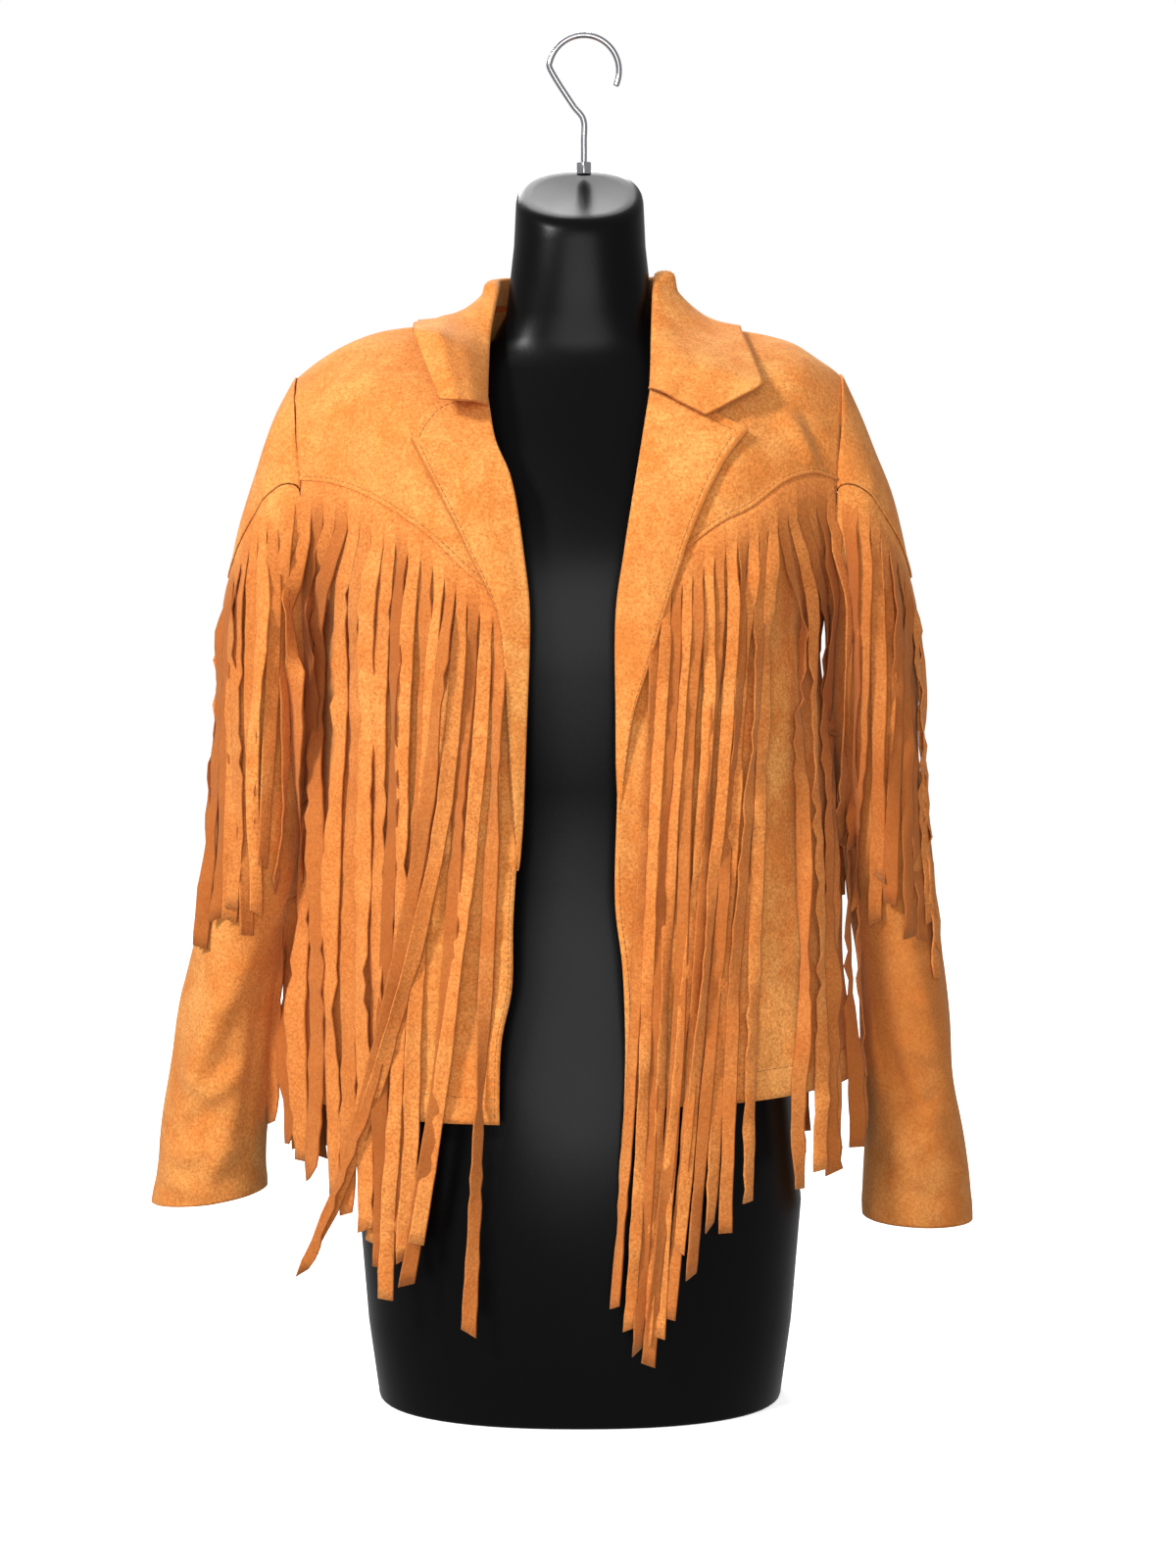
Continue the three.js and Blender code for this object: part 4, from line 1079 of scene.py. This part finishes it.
def fringe(name, node, hang, strands, seed, turned):
    """strands: rows of (left, right, drift, length, width, twist, lift, shade)."""
    rng = random.Random(seed)
    bm = bmesh.new()
    uv_layer = bm.loops.layers.uv.new("cloth")
    tone_layer = bm.verts.layers.float.new(SHADE)
    for left, right, drift, length, width, twist, lift, shade in strands:
        points = strand_points(hang, left, right, drift, length, width, twist, lift, rng)
        down = len(points) - 1
        far_edge = COLUMNS if points[0][COLUMNS][0] > points[0][0][0] else 0
        made = bmesh.ops.create_grid(bm, x_segments=COLUMNS, y_segments=down, size=0.5)["verts"]
        for vert in made:
            column, row = round((vert.co.x + 0.5) * COLUMNS), round((0.5 - vert.co.y) * down)
            for loop in vert.link_loops:
                loop[uv_layer].uv = (ACROSS[column], row * STEP / 100)
            # each strand's own tone, plus painted shade on its edge away from the key lamp
            vert[tone_layer] = (shade + STRAND_EDGE_PAINTED_SHADE * (column == far_edge)) * min(1.0, row / 5)
            vert.co = points[row][column] * MM
    bmesh.ops.remove_doubles(bm, verts=bm.verts, dist=STRAND_JOIN)
    if turned:
        bmesh.ops.reverse_faces(bm, faces=bm.faces)
    piece = finish_mesh(name, bm, FRINGE_SUEDE, wall=STRAND_WALL)
    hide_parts(node)
    print(name, len(strands), "strands,", len(piece.data.polygons), "faces")
    return piece


def even_ends(seam, start, end, count):
    """Where strands of one width meet along a seam, given as rows of points by its own measure."""
    measure, points = seam
    inside = (measure >= start) & (measure <= end)
    way = np.concatenate([[0], np.cumsum(np.linalg.norm(np.diff(points[inside], axis=0), axis=1))])
    return np.interp(np.linspace(0, way[-1], count + 1), way, measure[inside]), way[-1] / count


# %% [markdown]
# On the fronts each strand is seen, so one table row for each says where its tip hangs. A strand
# lies on whatever cloth is outermost under it: the front, or the sleeve beside it.

# %% Front fringes
FRONT_TIPS = {
    # tip from the middle, tip height, twist, shade; from the lapel out to the armhole
    "left": [(78, 77, 1.0, .45), (112, 141, .4, .1), (118, 110, .5, .7), (184, 123, .6, .25),
             (190, 108, .5, .6), (123, 128, .4, .0), (127, 132, .3, .5), (133, 98, .3, .1),
             (138, 120, .5, .8), (145, 136, .3, .2), (150, 146, .2, .05), (160, 155, .25, .35),
             (174, 166, .3, .1), (186, 176, .3, .6), (198, 186, .35, .2), (209, 194, .5, .75),
             (219, 204, .4, .3)],
    "right": [(24, 96, .9, .4), (33, 80, .5, .1), (39, 64, .5, .7), (45, 68, .8, .2), (51, 54, .4, .6),
              (57, 74, .5, .0), (64, 87, .6, .45), (70, 136, .6, .15), (78, 118, .4, .6), (89, 152, .3, .1),
              (100, 148, .4, .4), (116, 169, .4, .15), (156, 173, 1.5, .5), (168, 184, .3, .1),
              (178, 180, .2, .6), (183, 186, .2, .35), (193, 193, .5, .8), (203, 200, .4, .25)],
}
FRONT_TOP = {"left": (50, 197), "right": (50, 180)}      # the part of the seam that has a fringe
LONG_WAY, OVER_OTHERS = 75, 7      # strands that drift this far lie this much higher


def front_seam(side):
    points = CURVES[side]["yoke_seam"](np.linspace(0, 1, 400))
    order = np.argsort(np.abs(points[:, 0]))
    return np.abs(points[order, 0]), points[order]


FRONT_SEAM = {side: front_seam(side) for side in SIDES}


def front_hang(side):
    sign = SIDES[side]
    lowest = min(row[2] for row in LINES[side]["hem"]) + 4

    def hang(start, drift, rows):
        measure, points = FRONT_SEAM[side]
        z = np.interp(start, measure, points[:, 2]) - rows
        x = sign * (start + drift)
        on_cloth, out = OVER_FRONT[side](x, np.maximum(z, lowest))
        on_cloth[:, 2] = z
        return on_cloth, out
    return hang


def front_strands(side):
    tips = FRONT_TIPS[side]
    ends, width = even_ends(FRONT_SEAM[side], *FRONT_TOP[side], len(tips))
    result = []
    for k, ((tip, tip_z, twist, shade), left, right) in enumerate(zip(tips, ends, ends[1:])):
        start = (left + right) / 2
        length = np.interp(start, FRONT_SEAM[side][0], FRONT_SEAM[side][1][:, 2]) - tip_z
        lift = LAYERS[k % 3] + (OVER_OTHERS if abs(tip - start) > LONG_WAY else 0)
        wider = 0.97 + 0.15 * outer_share(start)
        result.append((left, right, tip - start, length, width * wider, twist, lift, shade))
    return result


print("front strands", len(FRONT_TIPS["left"]) + len(FRONT_TIPS["right"]))

# %% [markdown]
# The strands of the sleeves and the back are alike, so a table for them would say little. Seeded
# unevenness makes their drifts, lengths and tones. A sleeve's fringe is made in two halves, front
# and back of the arm, because a height map sees the arm from one side only.

# %% Sleeve fringes
SLEEVE_STRANDS = 10                # in each half
SLEEVE_TIPS = {"left": (219, 262), "right": (202, 243)}      # the first and the last strand's tip
SLEEVE_LENGTHS = (258, 305)
SHADES = (0.0, 0.15, 0.3, 0.5, 0.8)


def sleeve_line(side, half):
    """The seam round half a sleeve, measured by turn from the armhole to the outermost point."""
    measure = np.linspace(0.012, 0.247, 200)
    turn = measure if half == "front" else 0.5 - measure
    return measure, sleeve_points(side, turn, sleeve_seam(turn))


def sleeve_hang(side, half):
    measure, points = sleeve_line(side, half)
    body = FRONT_MAP[side] if half == "front" else BACK_MAP
    over = outermost(SLEEVE_MAP[side, half], (body,), -1 if half == "front" else 1)
    levels = np.linspace(0, LAST_ROW, 80)

    def hang(start, drift, rows):
        """Straight down in front of the arm, and along it where a strand lies on its outside."""
        z = np.interp(start, measure, points[:, 2]) - rows
        turn = start if half == "front" else 0.5 - start
        arm = sleeve_points(side, np.full(len(levels), turn), levels)[::-1]
        along = np.interp(z, arm[:, 2], arm[:, 0])
        share = 0.65 * smooth((start - 0.09) / 0.12)
        down = np.interp(start, measure, points[:, 0]) + SIDES[side] * drift
        return over((1 - share) * down + share * along, z)
    return hang


def sleeve_strands(side, half, rng):
    measure, points = sleeve_line(side, half)
    ends, width = even_ends((measure, points), measure[0], measure[-1], SLEEVE_STRANDS)
    near, far = (abs(np.interp(end, measure, points[:, 0])) for end in (ends[0], ends[-1]))
    result = []
    for k, (left, right) in enumerate(zip(ends, ends[1:])):
        start = abs(np.interp((left + right) / 2, measure, points[:, 0]))
        tip = np.interp(start, (near, far), SLEEVE_TIPS[side]) + rng.uniform(-5, 5)
        result.append((left, right, tip - start, rng.uniform(*SLEEVE_LENGTHS), width * 0.95,
                       rng.uniform(0.2, 0.6), 0.6 * LAYERS[k % 3] + rng.uniform(0, 1.5),
                       rng.choice(SHADES)))
    return result


print("sleeve strands", SLEEVE_STRANDS * 4)

# %% Back fringe
BACK_SEAM = both_sides("back_seam")(np.linspace(0, 1, 400))
BACK_COUNT = 34
BACK_ENDS = (-194.0, 177.0)
BACK_LENGTHS = (488, 520)
BACK_LOWEST = 240.0                # below this the strands hang straight down from the hem


def back_hang(start, drift, rows):
    z = np.interp(start, BACK_SEAM[:, 0], BACK_SEAM[:, 2]) - rows
    on_cloth, out = OVER_BACK(start + drift, np.maximum(z, BACK_LOWEST))
    on_cloth[:, 2] = z
    return on_cloth, out


def back_strands(rng):
    ends, width = even_ends((BACK_SEAM[:, 0], BACK_SEAM), *BACK_ENDS, BACK_COUNT)
    result = []
    for k, (left, right) in enumerate(zip(ends, ends[1:])):
        drift = (left + right) / 2 * 0.06 + rng.uniform(-12, 12)
        result.append((left, right, drift, rng.uniform(*BACK_LENGTHS), width * 0.97, rng.uniform(0.1, 0.5),
                       LAYERS[k % 3] + rng.uniform(0, 1.5), rng.choice(SHADES)))
    return result


print("back strands", BACK_COUNT)

# %% All fringes
for side, sign in SIDES.items():
    fringe(f"front_fringe_{side}", f"fringe_front_{side}",
                                              front_hang(side), front_strands(side), 11 + sign, sign < 0)
    for half, turned in (("front", sign < 0), ("back", sign > 0)):
        rng = random.Random(31 + sign + len(half))
        fringe(f"sleeve_fringe_{side}_{half}", f"fringe_sleeve_{side}",
                             sleeve_hang(side, half), sleeve_strands(side, half, rng), 21 + sign, turned)
fringe("back_fringe", "fringe_back", back_hang,
                                 back_strands(random.Random(5)), 41, True)

# %% [markdown]
# The form is one smooth moulded shell without arms or legs, with a slanted flat top to the neck.
# It could be lathed, but a torso is wider than it is deep. So it is built of rings, each a
# rounded oval, bridged one to the next, and closed by a face at the foot and at the top.

# %% Form
FORM_ROWS = [
    # height, half the width, half the depth
    (0, 150, 95), (60, 158, 104), (150, 165, 110), (250, 155, 104), (330, 128, 88),
    (390, 116, 82), (460, 124, 88), (540, 140, 100), (600, 146, 100), (640, 150, 93),
    (690, 156, 76), (720, 156, 62), (742, 142, 52), (758, 112, 44), (770, 84, 40),
    (782, 64, 40), (800, 54, 43), (824, 51, 45), (850, 48, 45),
]
FORM_AROUND = 64
SQUARENESS = 2.3
CAP_FRONT_Z, CAP_BACK_Z = 862.0, 914.0
CAP_HALF = (46.5, 45.0)
CAP_DROP = 8                       # from the rim of the neck's top down to where it starts to round
# share of that drop, and size of the ring
CAP_ROUNDING = [(0.1, 1.0), (0.5, 0.985), (0.8, 0.955), (0.95, 0.915), (1.0, 0.86), (0.98, 0.72),
                (0.9, 0.4)]


def oval(half_width, half_depth):
    angle = np.arange(FORM_AROUND) * 2 * math.pi / FORM_AROUND
    x, y = (np.sign(value) * np.abs(value) ** (2 / SQUARENESS) for value in (np.cos(angle), np.sin(angle)))
    return half_width * x, half_depth * y


def form_rings():
    rings = []
    for z, half_width, half_depth in FORM_ROWS:
        x, y = oval(half_width, half_depth)
        rings.append(np.stack([x, y, np.full(FORM_AROUND, z, float)], axis=1))
    for rise, size in CAP_ROUNDING:
        x, y = oval(CAP_HALF[0] * size, CAP_HALF[1] * size)
        slant = CAP_FRONT_Z + (CAP_BACK_Z - CAP_FRONT_Z) * (y + CAP_HALF[1]) / (2 * CAP_HALF[1])
        rings.append(np.stack([x, y, slant - CAP_DROP * (1 - rise)], axis=1))
    return rings


def form_mesh():
    bm = bmesh.new()
    loops = []
    for ring in form_rings():
        made = bmesh.ops.create_circle(bm, segments=FORM_AROUND, radius=1.0)["verts"]
        for vert, place in zip(made, ring):
            vert.co = place * MM
        loops.append([edge for edge in bm.edges if edge.verts[0] in made and edge.verts[1] in made])
    for lower, upper in zip(loops, loops[1:]):
        bmesh.ops.bridge_loops(bm, edges=lower + upper)
    bmesh.ops.contextual_create(bm, geom=loops[0])
    bmesh.ops.contextual_create(bm, geom=loops[-1])
    bmesh.ops.recalc_face_normals(bm, faces=bm.faces)
    return bm


form = finish_mesh("torso_form", form_mesh(), BLACK, wall=0)
round_edges(form, "round_foot", 3, 3, 50)
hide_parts("form")
print("form", len(form.data.polygons), "faces")

# %% [markdown]
# The hook is a polished wire that screws into a hexagonal nut, bends aside and then round in an
# arc. A curve with a bevel would give it, but a section carried along the route step by step
# keeps its ends closed and its rings square to the wire.

# %% Hook
NUT = {"x": 3.0, "y": 24.0, "z": 905.6, "radius": 6.0, "height": 9.0}
WIRE_RADIUS = 2.2
ARC = {"x": 3.0, "z": 981.0, "radius": 25.8, "start": 172, "end": -25, "steps": 40}


def hook_route():
    stem = ((0, NUT["z"] + NUT["height"] - 2), (0, 930), (-0.5, 946), (-8, 956))
    rise = [(NUT["x"] + aside, NUT["y"], z) for aside, z in stem]
    angles = np.radians(np.linspace(ARC["start"], ARC["end"], ARC["steps"]))
    arc = [(ARC["x"] + ARC["radius"] * math.cos(a), NUT["y"], ARC["z"] + ARC["radius"] * math.sin(a))
           for a in angles]
    return through(rise + arc)(np.linspace(0, 1, 120))


def hook_mesh():
    """A round section carried along the wire's route, one extrusion for each step."""
    route = hook_route() * MM
    bm = bmesh.new()
    made = bmesh.ops.create_circle(bm, segments=16, radius=WIRE_RADIUS * MM)["verts"]
    aim = Vector((0, 0, 1))
    for vert in made:
        vert.co += Vector(route[0])
    face = bmesh.ops.contextual_create(bm, geom=bm.edges[:])["faces"][0]
    for before, here in zip(route, route[1:]):
        way = (Vector(here) - Vector(before)).normalized()
        face = bmesh.ops.extrude_discrete_faces(bm, faces=[face])["faces"][0]
        bmesh.ops.translate(bm, verts=face.verts, vec=Vector(here) - Vector(before))
        turn = aim.rotation_difference(way).to_matrix()
        bmesh.ops.rotate(bm, verts=face.verts, cent=Vector(here), matrix=turn)
        aim = way
    bmesh.ops.recalc_face_normals(bm, faces=bm.faces)
    return bm


hook = finish_mesh("hook_wire", hook_mesh(), CHROME, wall=0)
round_edges(hook, "round_ends", 0.8, 3, 60)
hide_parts("hook")
print("hook", len(hook.data.polygons), "faces")

# %% Nut
nut_mesh = bmesh.new()
bmesh.ops.create_cone(nut_mesh, cap_ends=True, segments=6, radius1=NUT["radius"] * MM,
                      radius2=NUT["radius"] * MM, depth=NUT["height"] * MM)
bmesh.ops.translate(nut_mesh, verts=nut_mesh.verts,
                    vec=Vector((NUT["x"], NUT["y"], NUT["z"] + NUT["height"] / 2)) * MM)
bmesh.ops.bevel(nut_mesh, geom=nut_mesh.edges[:], offset=0.7 * MM, segments=3, profile=0.5,
                affect="EDGES", material=-1)
nut = finish_mesh("hook_nut_piece", nut_mesh, CHROME, wall=0)
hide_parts("hook_nut")
print("nut", len(nut.data.polygons), "faces")

# %% [markdown]
# Topstitching runs beside the seams and edges. A dashed line in the material would look drawn on,
# so each stitch is a small bar, sunk into the cloth for most of its height. A line of them is
# given by points beside the seam, and each is laid on the mesh of its piece, so it follows every
# crease.

# %% One line of stitches
STITCH = (3.4, 0.95, 0.6)          # length, width before it is narrowed, and height of a stitch
PITCH = 4.8                        # from one stitch to the next
LOOK_AHEAD = 1.5                   # how far along the line a stitch finds its direction
SUNK = 0.35                        # of its height: its middle lies this far under the surface
NARROWED = 0.6                     # of its width


def on_mesh(piece):
    mesh = piece.data
    return BVHTree.FromPolygons([v.co[:] for v in mesh.vertices], [p.vertices[:] for p in mesh.polygons])


def stitches(name, piece, paths):
    bm = bmesh.new()
    tree = on_mesh(piece)
    for path in paths:
        way = np.concatenate([[0], np.cumsum(np.linalg.norm(np.diff(path, axis=0), axis=1))])
        for at in np.arange(PITCH, way[-1] - PITCH / 2, PITCH):
            here, ahead = (Vector([np.interp(at + step, way, path[:, k]) for k in range(3)]) * MM
                           for step in (0, LOOK_AHEAD))
            spot, normal, _, _ = tree.find_nearest(here)
            along = (tree.find_nearest(ahead)[0] - spot).normalized()
            turn = Matrix((along, normal.cross(along).normalized(), normal)).transposed().to_4x4()
            place = Matrix.Translation(spot) @ turn @ Matrix.Diagonal((*(size * MM for size in STITCH), 1))
            made = bmesh.ops.create_cube(bm, size=1.0)["verts"]
            for vert in made:
                vert.co.z -= SUNK
                vert.co.y *= NARROWED
            bmesh.ops.transform(bm, matrix=place, verts=made)
    return finish_mesh(name, bm, THREAD, wall=0)


# %% Where the stitches run
STITCH_INSET = 4.0                 # from a yoke's seam
LINE = np.linspace(0, 1, 160)
FLAT = np.ones(len(LINE))
STITCHES = {}
for side in SIDES:
    front, yoke, lapel = FRONT[side], YOKE[side], lapel_place(side)
    cap_turn = np.linspace(0.02, 0.48, len(LINE))
    STITCHES[f"front_{side}"] = [front(LINE, FLAT * HEM_BAND / PANEL_SIZES["front"][1]),
                                 front(FLAT * 0.018, LINE * 0.5 + 0.01)]
    STITCHES[f"yoke_{side}"] = [yoke(LINE, FLAT * STITCH_INSET / PANEL_SIZES["yoke"][1])]
    STITCHES[f"lapel_{side}"] = [lapel(FLAT * 0.93, LINE * 0.93 + 0.05)[:-1],
                                 lapel(LINE * 0.7 + 0.23, FLAT * 0.98)]
    STITCHES[f"sleeve_{side}"] = [sleeve_points(side, LINE, FLAT * 9.8)]
    STITCHES[f"sleeve_cap_{side}"] = [sleeve_points(side, cap_turn, sleeve_seam(cap_turn) - 0.085)]
STITCHES["back"] = [BACK(LINE, FLAT * HEM_BAND / PANEL_SIZES["back"][1])]
STITCHES["back_yoke"] = [BACK_YOKE(LINE, FLAT * STITCH_INSET / PANEL_SIZES["back_yoke"][1])]
STITCHES["collar"] = [collar_place()(LINE * 0.98 + 0.01, FLAT * 0.955)]
for node, paths in STITCHES.items():
    STITCHES[node] = stitches(f"stitches_{node}", PANELS[node], paths)
    print("stitches", node, len(STITCHES[node].data.polygons) // 6)
